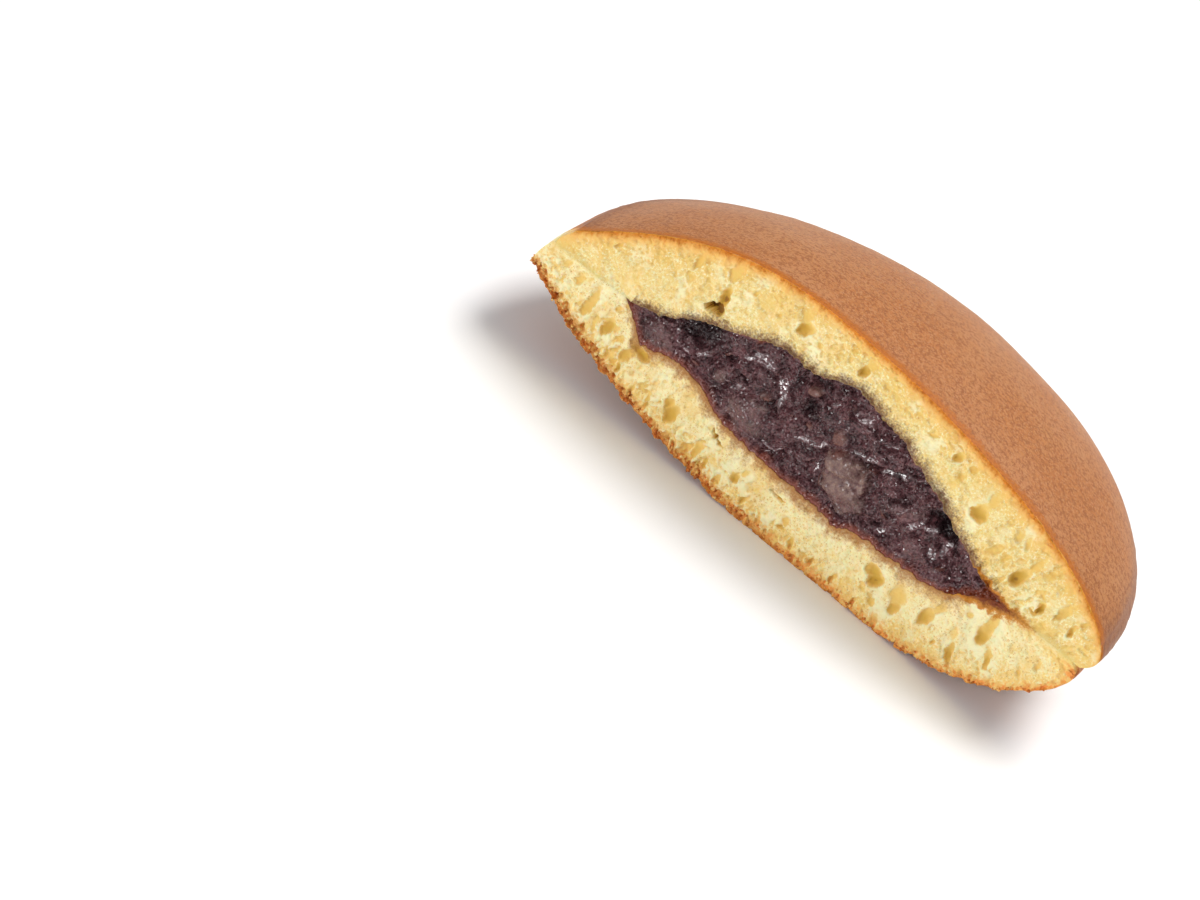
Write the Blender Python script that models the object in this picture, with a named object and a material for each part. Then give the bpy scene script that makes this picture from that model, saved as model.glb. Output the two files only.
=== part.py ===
"""Half a dorayaki, as cut: two domed sponge pancakes with sweet bean paste between them.

Each piece is built whole, round its own upright axis, and then cut through. While it is built, X runs
along the cut, Y into the half and Z up, the cut lies at Y = 0 and the seam between the pancakes at Z = 0.
"""

import math

import bmesh
import bpy
from mathutils import Vector

MM = 0.001  # every size below is in millimetres

# The whole sweet's outline
CENTRE_Y = 4.0  # the pancakes' middle lies this far behind the cut
SEGMENTS = 80  # facets once round
GAP = 0.3  # air left between neighbouring pieces, top to bottom

# Top pancake. Heights are measured away from the seam.
TOP = {
    "side": 1,
    "middle_x": 1.22,
    "rim_radius": 47.79,  # at the widest part of its pale side band
    "crust_inset": 1.2,  # the brown crust ends this far inside the rim
    "crust_edge": 4.22,  # height of the crust's edge
    "crust_edge_tilt": 0.56,  # more towards +X, less towards -X
    "peak": 19.25,
    "peak_at": (-7.85, -3.45),
    "fullness": 2.3,  # how far the dome holds its height before it falls
    "fullness_tilt": 0.0,
    "shoulder": 0.93,  # below 1 the dome drops late and steeply at its edge
    "shoulder_tilt": -0.16,
    "flat": 0.0,
    "dents": ((19.0, 0.0, 11.0, 0.42), (14.5, 44.5, 7.0, 0.8)),  # (x, y, width, depth)
}

# Bottom pancake: the same form turned over, with the spot that it rests on
BOTTOM = {
    "side": -1,
    "middle_x": -0.33,
    "rim_radius": 48.03,
    "crust_inset": 0.6,
    "crust_edge": 4.61,
    "crust_edge_tilt": -0.54,
    "peak": 17.18,
    "peak_at": (7.03, 15.47),
    "fullness": 3.14,
    "fullness_tilt": 0.93,
    "shoulder": 0.88,
    "shoulder_tilt": 0.0,
    "flat": 0.35,
    "dents": (),
}

# Side bands, as (inset from the rim, share of the crust edge's height) from the crust down to the seam
ROUNDED_BAND = ((0.35, 0.78), (0.0, 0.5), (0.45, 0.22))
SEAM_INSET = 1.5
# At the -X end of the cut the two bands are pinched into one slanting side.
PINCHED_TOP = ((0.6, 0.78), (0.1, 0.5), (0.0, 0.22))
PINCHED_TOP_SEAM = -0.2
PINCHED_BOTTOM = ((0.3, 0.78), (0.8, 0.5), (1.5, 0.22))
PINCHED_BOTTOM_SEAM = 1.9
PINCH_WIDTH = math.radians(26)

# Bean filling
FILL_MIDDLE = (-0.6, CENTRE_Y)
FILL_RADIUS = 33.6
FILL_TOP = 12.2
FILL_TOP_AT = (1.5, CENTRE_Y)
FILL_TOP_TAPER = 1.6
FILL_BOTTOM = 6.8
FILL_BOTTOM_AT = (4.0, CENTRE_Y)
FILL_BOTTOM_TAPER = 0.65
FILL_EDGE = 0.35  # half of its thickness at the thin edge
# Where it is pressed deeper into the lower pancake, or less deep: (x, y, width, depth)
FILL_LUMPS = ((-28.6, 1.0, 2.2, 2.0), (-20.0, 1.5, 4.2, -2.1), (24.5, 2.0, 3.2, 0.8))

CRUST_RINGS = (0.14, 0.28, 0.42, 0.55, 0.67, 0.77, 0.85, 0.91, 0.96)
FILL_RINGS = (0.12, 0.24, 0.36, 0.48, 0.6, 0.71, 0.81, 0.89, 0.95, 0.985)
CAVITY_MARGIN = 0.4  # the hollow in each pancake is this much wider than the filling

CRUST_COLOUR = (0.44, 0.22, 0.10, 1.0)
SPONGE_COLOUR = (0.80, 0.62, 0.33, 1.0)
BEAN_COLOUR = (0.085, 0.040, 0.042, 1.0)


def clear_scene():
    for found in list(bpy.data.objects):
        bpy.data.objects.remove(found, do_unlink=True)


def new_collection(name):
    made = bpy.data.collections.new(name)
    bpy.context.scene.collection.children.link(made)
    return made


def new_material(name, colour, roughness):
    made = bpy.data.materials.new(name)
    made.use_nodes = True
    shader = made.node_tree.nodes["Principled BSDF"]
    shader.inputs["Base Color"].default_value = colour
    shader.inputs["Roughness"].default_value = roughness
    return made


def on_circle(middle, radius, angle):
    """The point of a circle, as (x, y)."""
    return middle[0] + radius * math.cos(angle), middle[1] + radius * math.sin(angle)


def reach(x, y, start, middle, radius):
    """How far (x, y) lies on the way from start to a circle round middle, from 0 to 1, and the angle it is met at."""
    away = Vector((x - start[0], y - start[1]))
    if away.length < 1e-9:
        return 0.0, 0.0
    direction = away.normalized()
    offset = Vector((start[0] - middle[0], start[1] - middle[1]))
    along = offset.dot(direction)
    whole = -along + math.sqrt(along * along - offset.length_squared + radius * radius)
    met = offset + direction * whole
    return min(away.length / whole, 1.0), math.atan2(met.y, met.x)


def crust_height(pancake, x, y):
    """Height of the browned surface away from the seam."""
    middle = (pancake["middle_x"], CENTRE_Y)
    radius = pancake["rim_radius"] - pancake["crust_inset"]
    share, angle = reach(x, y, pancake["peak_at"], middle, radius)
    edge = pancake["crust_edge"] + pancake["crust_edge_tilt"] * math.cos(angle)
    power = pancake["fullness"] + pancake["fullness_tilt"] * math.cos(angle)
    shoulder = pancake["shoulder"] + pancake["shoulder_tilt"] * math.cos(angle)
    height = edge + (pancake["peak"] - edge) * (1 - share**power) ** shoulder
    for dent_x, dent_y, width, depth in pancake["dents"]:
        apart = ((x - dent_x) ** 2 + (y - dent_y) ** 2) / (width * width)
        height -= (1 - share**8) * depth * math.exp(-apart)
    return min(height, pancake["peak"] - pancake["flat"])


def filling_height(side, x, y):
    """Thickness of the filling above the seam (side 1) or below it (side -1)."""
    if side > 0:
        share, _ = reach(x, y, FILL_TOP_AT, FILL_MIDDLE, FILL_RADIUS)
        return FILL_EDGE + (FILL_TOP - FILL_EDGE) * (1 - share * share) ** FILL_TOP_TAPER
    share, _ = reach(x, y, FILL_BOTTOM_AT, FILL_MIDDLE, FILL_RADIUS)
    depth = FILL_EDGE + (FILL_BOTTOM - FILL_EDGE) * (1 - share * share) ** FILL_BOTTOM_TAPER
    inside = 1 - share**8
    for lump_x, lump_y, width, extra in FILL_LUMPS:
        apart = ((x - lump_x) ** 2 + (y - lump_y) ** 2) / (width * width)
        depth += inside * extra * math.exp(-apart)
    return depth


def pinch(angle):
    """1 at the -X end of the cut, falling smoothly to 0 round the side."""
    away = abs(math.remainder(angle - math.pi, 2 * math.pi))
    share = max(0.0, 1.0 - away / PINCH_WIDTH)
    return share * share * (3 - 2 * share)


def band_point(pancake, level, angle):
    """(inset, share of the crust edge's height) of the side band at this level, 0 to 2 from the crust down."""
    pinched = PINCHED_TOP if pancake["side"] > 0 else PINCHED_BOTTOM
    amount = pinch(angle)
    return tuple(
        plain * (1 - amount) + tight * amount
        for plain, tight in zip(ROUNDED_BAND[level], pinched[level])
    )


def seam_inset(pancake, angle):
    pinched = PINCHED_TOP_SEAM if pancake["side"] > 0 else PINCHED_BOTTOM_SEAM
    amount = pinch(angle)
    return SEAM_INSET * (1 - amount) + pinched * amount


def pancake_column(pancake, angle):
    """One radial run of points, from the crust's middle over the rim to the hollow's middle."""
    side = pancake["side"]
    middle = (pancake["middle_x"], CENTRE_Y)
    rim = pancake["rim_radius"]
    crust_radius = rim - pancake["crust_inset"]
    edge = pancake["crust_edge"] + pancake["crust_edge_tilt"] * math.cos(angle)
    run = []
    for share in CRUST_RINGS:
        x, y = on_circle(middle, share * crust_radius, angle)
        run.append((x, y, side * crust_height(pancake, x, y)))
    run.append((*on_circle(middle, crust_radius, angle), side * edge))
    for level in range(len(ROUNDED_BAND)):
        inset, share = band_point(pancake, level, angle)
        run.append((*on_circle(middle, rim - inset, angle), side * share * edge))
    seam_radius = rim - seam_inset(pancake, angle)
    run.append((*on_circle(middle, seam_radius, angle), side * GAP / 2))
    run.append((*on_circle(FILL_MIDDLE, FILL_RADIUS + 4.0, angle), side * GAP / 2))
    run.append((*on_circle(FILL_MIDDLE, FILL_RADIUS + CAVITY_MARGIN, angle), side * GAP / 2))
    run.append((*on_circle(FILL_MIDDLE, FILL_RADIUS, angle), side * (FILL_EDGE + GAP)))
    for share in reversed(FILL_RINGS):
        x, y = on_circle(FILL_MIDDLE, share * FILL_RADIUS, angle)
        run.append((x, y, side * (filling_height(side, x, y) + GAP)))
    return run


def filling_column(angle):
    """One radial run of points, from the filling's middle on top, round its thin edge, to its middle below."""
    run = []
    for side, shares in ((1, FILL_RINGS), (-1, tuple(reversed(FILL_RINGS)))):
        ring = []
        for share in shares:
            x, y = on_circle(FILL_MIDDLE, share * FILL_RADIUS, angle)
            ring.append((x, y, side * filling_height(side, x, y)))
        edge = (*on_circle(FILL_MIDDLE, FILL_RADIUS, angle), side * FILL_EDGE)
        run += [*ring, edge] if side > 0 else [edge, *ring]
    return run


def turned_piece(name, column, first_pole, last_pole, collection, material):
    """A closed mesh from radial runs of points, each joined to the next, with a pole at both ends."""
    mesh = bmesh.new()
    angles = [2 * math.pi * (k + 0.5) / SEGMENTS for k in range(SEGMENTS)]
    runs = [[mesh.verts.new(Vector(point) * MM) for point in column(angle)] for angle in angles]
    first = mesh.verts.new(Vector(first_pole) * MM)
    last = mesh.verts.new(Vector(last_pole) * MM)
    for here, there in zip(runs, runs[1:] + runs[:1]):
        mesh.faces.new((first, here[0], there[0]))
        mesh.faces.new((last, there[-1], here[-1]))
        for k in range(len(here) - 1):
            mesh.faces.new((here[k], here[k + 1], there[k + 1], there[k]))
    bmesh.ops.recalc_face_normals(mesh, faces=mesh.faces)
    data = bpy.data.meshes.new(name)
    mesh.to_mesh(data)
    mesh.free()
    data.materials.append(material)
    made = bpy.data.objects.new(name, data)
    collection.objects.link(made)
    return made


def build_pancake(name, pancake, collection, material):
    side = pancake["side"]
    middle = (pancake["middle_x"], CENTRE_Y)
    return turned_piece(
        name,
        lambda angle: pancake_column(pancake, angle),
        (*middle, side * crust_height(pancake, *middle)),
        (*FILL_MIDDLE, side * (filling_height(side, *FILL_MIDDLE) + GAP)),
        collection,
        material,
    )


def build_filling(name, collection, material):
    return turned_piece(
        name,
        filling_column,
        (*FILL_MIDDLE, filling_height(1, *FILL_MIDDLE)),
        (*FILL_MIDDLE, -filling_height(-1, *FILL_MIDDLE)),
        collection,
        material,
    )


def build_knife(collection):
    """The half that was cut away, as a block in front of Y = 0."""
    size = 160 * MM
    bpy.ops.mesh.primitive_cube_add(size=size, location=(0, -size / 2, 0))
    knife = bpy.context.active_object
    knife.name = "cut_away_half"
    for old in list(knife.users_collection):
        old.objects.unlink(knife)
    collection.objects.link(knife)
    knife.hide_render = True
    knife.display_type = "WIRE"
    return knife


def cut_in_half(piece, knife):
    cut = piece.modifiers.new("cut", "BOOLEAN")
    cut.operation = "DIFFERENCE"
    cut.solver = "EXACT"
    cut.object = knife


def stand_on_origin(pieces, knife, collection):
    """Puts everything under one empty, moved so that the cut half stands centred on the origin."""
    bpy.context.view_layer.update()
    graph = bpy.context.evaluated_depsgraph_get()
    corners = [Vector(c) for piece in pieces for c in piece.evaluated_get(graph).bound_box]
    low = Vector(min(c[axis] for c in corners) for axis in range(3))
    high = Vector(max(c[axis] for c in corners) for axis in range(3))
    holder = bpy.data.objects.new("half_dorayaki_holder", None)
    collection.objects.link(holder)
    for piece in [*pieces, knife]:
        piece.parent = holder
    holder.location = (-(low.x + high.x) / 2, -(low.y + high.y) / 2, -low.z)


def main():
    clear_scene()
    sweet = new_collection("half_dorayaki")
    cutters = new_collection("cutters")
    crust = new_material("top_sponge", CRUST_COLOUR, 0.6)
    sponge = new_material("bottom_sponge", SPONGE_COLOUR, 0.75)
    paste = new_material("bean_paste", BEAN_COLOUR, 0.4)
    pieces = [
        build_pancake("top_pancake", TOP, sweet, crust),
        build_pancake("bottom_pancake", BOTTOM, sweet, sponge),
        build_filling("bean_filling", sweet, paste),
    ]
    knife = build_knife(cutters)
    for piece in pieces:
        cut_in_half(piece, knife)
    stand_on_origin(pieces, knife, sweet)


main()
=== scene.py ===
"""Looks of half a dorayaki, cut through: browned crust, open crumb, and sweet bean paste with whole beans.

Shapes are worked out in millimetres and placed in the frame at the end. X runs along the cut, Y into the
half and Z up. The cut lies at Y = 0 and the seam between the two pancakes at Z = 0.
"""

import math
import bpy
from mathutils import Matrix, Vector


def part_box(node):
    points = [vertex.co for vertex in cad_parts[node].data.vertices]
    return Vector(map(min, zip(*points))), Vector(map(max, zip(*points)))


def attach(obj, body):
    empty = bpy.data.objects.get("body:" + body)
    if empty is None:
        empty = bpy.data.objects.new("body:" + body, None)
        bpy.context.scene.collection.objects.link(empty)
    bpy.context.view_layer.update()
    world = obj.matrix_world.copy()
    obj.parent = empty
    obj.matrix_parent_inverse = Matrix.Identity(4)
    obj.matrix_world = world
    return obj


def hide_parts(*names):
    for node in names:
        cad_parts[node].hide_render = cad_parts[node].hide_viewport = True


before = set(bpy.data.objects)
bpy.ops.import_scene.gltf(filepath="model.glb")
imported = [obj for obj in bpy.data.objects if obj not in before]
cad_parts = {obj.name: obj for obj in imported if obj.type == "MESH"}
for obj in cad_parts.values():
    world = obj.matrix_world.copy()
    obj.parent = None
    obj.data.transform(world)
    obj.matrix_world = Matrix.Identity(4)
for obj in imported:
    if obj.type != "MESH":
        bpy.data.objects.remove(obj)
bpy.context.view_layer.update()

from types import SimpleNamespace

import bmesh
import bpy
import numpy as np
from mathutils import Matrix, Vector

MM = 0.001

# ---------------------------------------------------------------- sizes, in millimetres

CENTRE_Y = 4.0  # the pancakes' middle lies this far behind the cut
SEAM_INSET = 1.5  # how far the seam lies inside the rim
PINCH_WIDTH = math.radians(20)  # how far round the rim the pinched left end reaches
FAR = 9.0  # stands for far away from the crust or the paste

# Tilts add to a measure at the right end and take away at the left one
TOP = {
    "side": 1,
    "middle_x": 1.22,
    "rim_radius": 47.79,
    "crust_inset": 1.2,
    "crust_edge": 4.22,
    "crust_edge_tilt": 0.56,
    "peak": 19.25,
    "peak_at": (-7.85, -3.45),
    "fullness": 2.3,
    "fullness_tilt": 0.0,
    "shoulder": 0.93,
    "shoulder_tilt": -0.16,
    "flat": 0.0,
    "dents": ((19.0, 0.0, 11.0, 0.42), (14.5, 44.5, 7.0, 0.8)),
    "pinched": (-0.7, 1.4, 0.8),  # inset of the slanting end, as a + b s + c s^2 up the side
    "brown_reach": (0.2, 0.85),  # how far down the side the browning runs, all round and at the +X end
    "brown_from": 0.35,  # where that end starts, as the cosine of the angle round the rim
    "ragged": (0.07, 1.6, 62, 2),  # unevenness of the crust's cut line: height, spacing, seed, octaves
    "strewn": (11, 700, (1.0, 2.2), (0.3, 0.8), (0.9, 0.5)),
    "baking": (0.8, 0.82, 1.15, 1.1, 0.95),
    "stain": (0.3, 0.5, 0.7, 0.9, 0.9, 0.9, 1.2, 1.2, 1.0, 0.8, 0.6),
}

BOTTOM = {
    "side": -1,
    "middle_x": -0.33,
    "rim_radius": 48.03,
    "crust_inset": 0.6,
    "crust_edge": 4.61,
    "crust_edge_tilt": -0.54,
    "peak": 17.18,
    "peak_at": (7.03, 15.47),
    "fullness": 3.14,
    "fullness_tilt": 0.93,
    "shoulder": 0.88,
    "shoulder_tilt": 0.0,
    "flat": 0.35,
    "dents": (),
    "pinched": (1.09, -2.51, 0.82),
    "brown_reach": (0.1, 0.72),
    "brown_from": 0.75,
    "ragged": (0.35, 1.0, 61, 3),
    "strewn": (12, 1800, (1.2, 3.2), (0.5, 1.4), (0.6, 0.4)),
    "baking": (1.15, 1.2, 1.1, 1.0, 1.0),
    "stain": (0.4, 0.7, 1.0, 1.6, 2.3, 2.6, 2.5, 1.8, 1.4, 1.2, 1.0),
}

# "strewn" gives the small bubbles: seed, how many are tried, how drawn out, how deep for their size, and the
# space that they leave below the crust and above the paste
STREWN_HALF_WIDTHS = (0.16, 0.6)  # of the smallest and the largest

BAKING_ALONG = (-45, -27, -8, 12, 45)  # the x of each "baking": the lower it is, the deeper the toast

# Syrup soaked into the sponge past the paste's right tip: how dark it is at these x. "stain" is its reach
STAIN_ALONG = (26, 28, 29, 31, 33, 34, 35, 36, 37, 38.5, 40.5)
STAIN_STRENGTH = (0, 0.4, 0.75, 1.3, 1.35, 1.2, 1.0, 0.75, 0.6, 0.45, 0)

FILL_MIDDLE = (-0.6, CENTRE_Y)
FILL_RADIUS = 33.6
FILL_HALVES = {
    1: {"peak": 12.2, "peak_at": (1.5, CENTRE_Y), "taper": 1.6},
    -1: {"peak": 6.8, "peak_at": (4.0, CENTRE_Y), "taper": 0.65},
}
FILL_ENDS = (-33.3, 33.1)  # x of the paste's tips at the cut
FILL_EDGE = 0.02  # thickness of its hidden round edge

# How finely the pieces are divided
COLUMNS, FACE_ROWS, CRUST_ROWS, SIDE_ROWS, SEAT_ROWS = 560, 98, 36, 11, 10
PASTE_COLUMNS, PASTE_FACE_ROWS, PASTE_BACK_ROWS = 600, 112, 22

# Outline of the bean paste where it was cut, from its left tip to its right
PASTE_UPPER = (
    (-33.6, 0.0), (-31, 0.8), (-28, 1.6), (-26, 3.2), (-23, 5.0), (-20, 6.3), (-17, 7.7), (-14, 9.0),
    (-12, 9.8), (-9, 10.0), (-6, 9.8), (-4, 10.6), (-2, 11.8), (0, 12.4), (3, 12.0), (5, 11.2), (8, 10.7),
    (10, 10.2), (12, 9.2), (14, 8.6), (17, 7.6), (20, 5.8), (23, 4.2), (26, 2.9), (28, 1.9), (30, 1.0),
    (31, 0.6), (32.3, 0.3), (33.4, 0.0),
)
PASTE_LOWER = (
    (-33.6, 0.0), (-32, -1.2), (-30.3, -2.8), (-29, -4.3), (-27.6, -4.2), (-26, -3.5), (-24, -3.0),
    (-22, -2.8), (-18, -3.2), (-16, -4.4), (-14, -5.5), (-12, -6.0), (-9, -6.4), (-4, -6.6), (0, -6.7),
    (5, -7.0), (7, -7.2), (8.3, -7.8), (9.6, -7.3), (11, -6.3), (15, -5.8), (20, -5.6), (23, -5.4),
    (26, -4.7), (28, -3.2), (30, -1.7), (31, -1.1), (32.3, -0.5), (33.4, 0.0),
)

# Large bubbles opened by the cut: (x, z, half width, half height, lean to +X in degrees, depth)
TOP_BUBBLES = (
    (-22.1, 10.6, 0.85, 2.2, 0, 1.95), (-22.4, 7.8, 0.85, 1.75, 65, 4.2),
    (-21.9, 9.1, 0.75, 1.3, 10, 1.75), (-22.6, 15.3, 0.95, 2.5, -3, 0.8),
    (-10.1, 14.6, 1.05, 1.7, 30, 1.6), (-11.0, 17.0, 1.2, 1.9, -12, 0.8),
    (-18.7, 14.1, 0.35, 0.9, 25, 0.8), (-16.4, 15.0, 1.9, 2.8, 15, 0.55), (-14.2, 13.8, 0.5, 0.4, 0, 0.7),
    (-12.1, 16.4, 0.4, 0.7, -20, 0.7), (-0.1, 15.3, 0.75, 1.4, 8, 1.5), (0.4, 17.0, 0.9, 1.6, 0, 0.8),
    (-3.3, 17.5, 0.4, 0.3, 0, 0.7), (-4.5, 16.0, 0.35, 0.7, -35, 0.6), (-2.9, 15.5, 0.35, 0.8, -30, 0.6),
    (3.9, 15.6, 0.6, 0.8, 25, 0.6), (12.6, 14.2, 0.8, 0.35, -20, 0.8), (12.9, 15.0, 0.5, 1.0, 25, 0.5),
    (17.0, 14.0, 0.75, 1.15, 20, 1.4), (19.8, 13.9, 0.6, 1.0, 20, 0.9), (19.3, 11.6, 1.1, 0.5, 30, 0.4),
    (23.9, 9.2, 1.5, 1.95, 10, 1.6), (24.6, 12.5, 0.9, 2.3, 5, 0.8), (29.9, 10.5, 0.6, 1.6, -8, 0.7),
    (31.6, 10.4, 0.6, 1.5, 0, 0.7), (33.4, 5.2, 1.1, 2.2, 15, 1.85), (34.5, 8.6, 0.6, 2.6, 8, 0.8),
    (38.2, 3.4, 0.55, 1.45, 5, 1.7), (37.4, 2.0, 0.75, 0.3, 0, 1.3), (37.6, 4.9, 0.6, 0.35, 0, 0.9),
    (41.2, 5.5, 0.6, 2.4, 18, 1.0), (43.5, 3.8, 0.5, 1.7, 8, 1.3), (44.6, 6.5, 0.5, 1.4, 22, 0.8),
    (46.4, 2.4, 0.8, 0.6, 0, 0.5), (-27.7, 12.7, 0.7, 2.1, 5, 0.9), (-38.8, 6.1, 0.4, 0.5, 0, 0.8),
    (-39.7, 6.9, 0.3, 0.3, 0, 0.6), (-29.4, 6.4, 0.6, 1.5, 35, 0.4), (-24.9, 9.6, 0.9, 2.4, 0, 0.3),
    (-36.8, 2.4, 1.0, 1.6, 0, 0.35), (-42.2, 2.3, 0.7, 0.7, 0, 0.3), (-33.3, 9.6, 0.7, 0.9, 0, 0.3),
    (7.6, 14.6, 0.6, 0.4, 0, 0.4), (27.6, 7.0, 0.9, 1.1, 0, 0.35), (28.0, 11.6, 0.5, 1.2, 0, 0.4),
    (39.4, 8.0, 0.4, 1.4, 15, 0.4),
)
BOTTOM_BUBBLES = (
    (16.9, -8.8, 1.55, 1.4, 0, 1.6), (17.6, -9.7, 1.2, 1.8, 0, 1.8), (21.6, -9.3, 1.35, 2.6, -5, 0.8),
    (22.0, -11.6, 1.0, 1.6, 0, 1.3), (26.4, -9.2, 1.15, 2.3, 15, 1.4), (27.5, -6.5, 0.8, 1.8, 20, 0.8),
    (29.3, -11.9, 0.55, 0.6, 0, 1.0), (31.8, -11.3, 0.65, 2.3, -18, 1.4), (34.2, -3.9, 0.95, 2.8, 0, 1.2),
    (34.2, -5.7, 1.1, 2.2, 5, 1.5), (36.4, -8.2, 0.55, 2.4, -18, 1.3), (40.9, -6.5, 0.45, 1.5, -25, 0.7),
    (42.4, -4.0, 0.45, 1.5, -25, 0.7), (38.3, -4.2, 0.45, 1.2, -10, 0.5),
    (-27.9, -5.5, 1.8, 1.05, 0, 1.7), (-29.3, -7.2, 0.9, 2.1, 20, 1.4), (-29.7, -10.0, 0.45, 1.2, 0, 1.5),
    (-33.9, -5.3, 0.95, 2.3, 5, 1.6), (-38.0, -3.6, 0.8, 3.9, 2, 1.1), (-40.9, -2.0, 0.75, 1.4, 0, 0.9),
    (-36.0, -6.6, 0.5, 1.5, -8, 0.9), (-43.2, -3.9, 0.45, 1.2, 0, 0.8), (-31.6, -9.0, 0.5, 1.1, 0, 0.9),
    (-26.2, -11.7, 0.4, 1.6, 0, 1.5), (-20.5, -8.7, 0.7, 1.4, 0, 1.4), (-19.4, -9.8, 1.15, 2.1, 8, 1.6),
    (-23.6, -10.0, 0.45, 1.5, 0, 0.9), (-13.7, -12.0, 0.7, 1.9, -5, 1.2),
    (-11.7, -13.3, 0.5, 1.7, 0, 1.6), (-8.8, -13.8, 0.45, 1.2, 10, 1.1),
    (-7.0, -11.7, 0.8, 1.3, -10, 1.5), (-4.0, -13.9, 0.45, 1.3, 20, 1.4),
    (2.8, -12.0, 0.75, 0.85, 0, 0.9), (2.5, -13.3, 0.6, 0.5, 0, 1.3), (4.8, -14.3, 0.45, 1.2, -5, 1.2),
    (8.9, -14.7, 0.35, 1.1, 5, 1.5), (12.6, -14.7, 0.38, 1.3, 12, 1.3), (17.0, -15.0, 0.45, 1.0, 0, 1.2),
    (19.0, -13.2, 0.65, 0.8, 0, 1.0),
)
# Thin tears, the same way
TEARS = (
    (-12.7, -8.2, 0.34, 0.9, 128, 5.0), (-11.6, -9.0, 0.28, 1.1, 112, 5.0), (-0.4, -9.8, 0.32, 1.5, 98, 5.0),
)

# Open cells of the crumb: (spacing, how common from 0 to 1, depth)
CELLS = ((1.9, 0.26, 0.60), (1.0, 0.42, 0.42), (0.58, 0.6, 0.30))

# Places in the paste: hollows are positive, swellings negative, otherwise as for the bubbles
PASTE_SHAPES = (
    (-22.6, 3.2, 2.0, 4.3, 62, 1.2), (-27.0, 2.0, 0.8, 1.8, 50, 0.8), (-5.6, 9.3, 2.6, 0.8, 10, 1.1),
    (-3.3, 4.6, 1.7, 2.0, -40, 1.1), (-6.8, 6.9, 1.1, 1.4, 0, 0.5), (21.6, 3.4, 1.8, 3.6, -60, 1.5),
    (24.5, 1.6, 0.9, 1.6, -40, 0.9), (-15.5, 6.4, 1.0, 1.0, 0, 0.6), (-17.5, 2.8, 1.1, 2.2, 60, 0.4),
    (-14.0, 2.2, 0.9, 2.0, 70, 0.7), (-7.5, 1.8, 1.0, 1.5, 20, 0.6), (14.5, 3.0, 0.9, 2.4, 40, 0.6),
    (9.6, 4.4, 0.5, 4.6, 80, 0.7), (-2.0, -1.6, 0.8, 1.6, 30, 0.5), (13.0, -3.2, 0.9, 1.8, 30, 0.6),
    (-22.5, 0.4, 1.2, 1.6, 0, 0.4), (7.8, -5.6, 1.6, 1.2, 0, 0.7), (2.0, 8.6, 4.6, 2.8, 15, -1.0),
    (10.5, 7.0, 4.4, 2.0, -20, -0.8), (-12.5, 4.2, 3.2, 2.4, 20, -0.7), (16.5, 4.6, 2.6, 3.2, -30, -0.6),
    (-4.6, 0.0, 2.6, 2.2, 0, -0.5), (19.0, -2.4, 3.6, 2.0, 0, -0.5), (8.0, 5.6, 5.4, 0.55, 4, -0.5),
    (25.5, -2.4, 2.6, 1.6, 30, -0.5), (-19.0, -0.6, 2.4, 1.6, -20, -0.5),
)
# Wet ledges of paste that catch the light: (x, z, half length, half height, turn in degrees)
WET_LEDGES = (
    (-12.4, 6.3, 2.0, 0.9, 15), (-14.6, 5.0, 1.0, 0.5, 30), (-8.2, 5.0, 1.6, 0.6, -65),
    (-7.4, 2.6, 1.1, 0.5, -60), (7.0, 4.5, 2.4, 0.45, 12), (11.6, 5.1, 2.0, 0.55, 20),
    (-0.4, 1.0, 1.9, 0.4, 34), (-2.2, 0.2, 1.4, 0.35, 36), (17.6, 0.9, 1.9, 0.7, 26),
    (19.8, 1.9, 1.2, 0.6, 30), (23.2, 0.4, 1.2, 0.5, 78), (-13.8, 0.3, 1.1, 0.5, 35),
    (-25.4, 0.4, 0.8, 0.4, -12), (-20.6, 0.9, 1.0, 0.5, 25), (-5.0, -4.3, 1.8, 0.4, 15),
    (15.6, 7.4, 1.4, 0.4, 25), (21.6, -1.6, 1.4, 0.4, 10), (3.6, 9.2, 1.6, 0.5, 5),
    (-18.6, 6.2, 1.0, 0.4, 20), (13.5, -3.9, 1.5, 0.35, 25), (26.0, -2.0, 1.2, 0.5, 40),
    (-10.0, 1.9, 0.8, 0.4, 10), (-22.6, -1.4, 1.2, 0.35, 10), (8.4, 8.2, 1.2, 0.4, 20),
    (-1.0, 7.6, 1.0, 0.4, 40), (14.6, 1.4, 1.0, 0.35, 40), (2.0, -2.2, 0.9, 0.3, 60),
    (-16.4, -1.8, 1.0, 0.3, 20),
)
LEDGE_SLANT_X, LEDGE_SLANT_Z = -0.17, 0.47  # a ledge sinks in by so much for each millimetre along and up
FACET_LEAN = (0.44, 0.5, 0.64)  # how the paste's little flat faces lean on average, towards the lamps
# Whole and broken beans: (x, z, half width, half height, turn in degrees, how far it stands proud, paleness)
BEANS = (
    (5.6, -0.1, 3.7, 3.1, -35, 1.3, 1.0), (7.4, -2.4, 3.0, 2.5, -10, 0.8, 0.5),
    (-11.0, -2.6, 3.3, 3.0, 0, 0.5, 0.32), (-27.3, -1.3, 2.5, 2.0, -10, 0.4, 0.22),
    (-16.6, -0.2, 1.0, 1.3, 0, 0.25, 0.35), (2.2, 4.2, 1.1, 1.3, 15, 0.3, 0.6),
    (-4.3, 7.5, 1.2, 0.75, 25, 0.35, 0.9), (-9.6, 1.7, 0.9, 0.6, 20, 0.25, 0.5),
    (15.6, 1.4, 2.4, 1.4, 30, 0.3, 0.1), (-2.3, 2.7, 0.6, 0.45, 0, 0.3, 0.8),
    (19.5, -2.6, 2.4, 1.5, -20, 0.35, 0.1),
)
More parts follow.
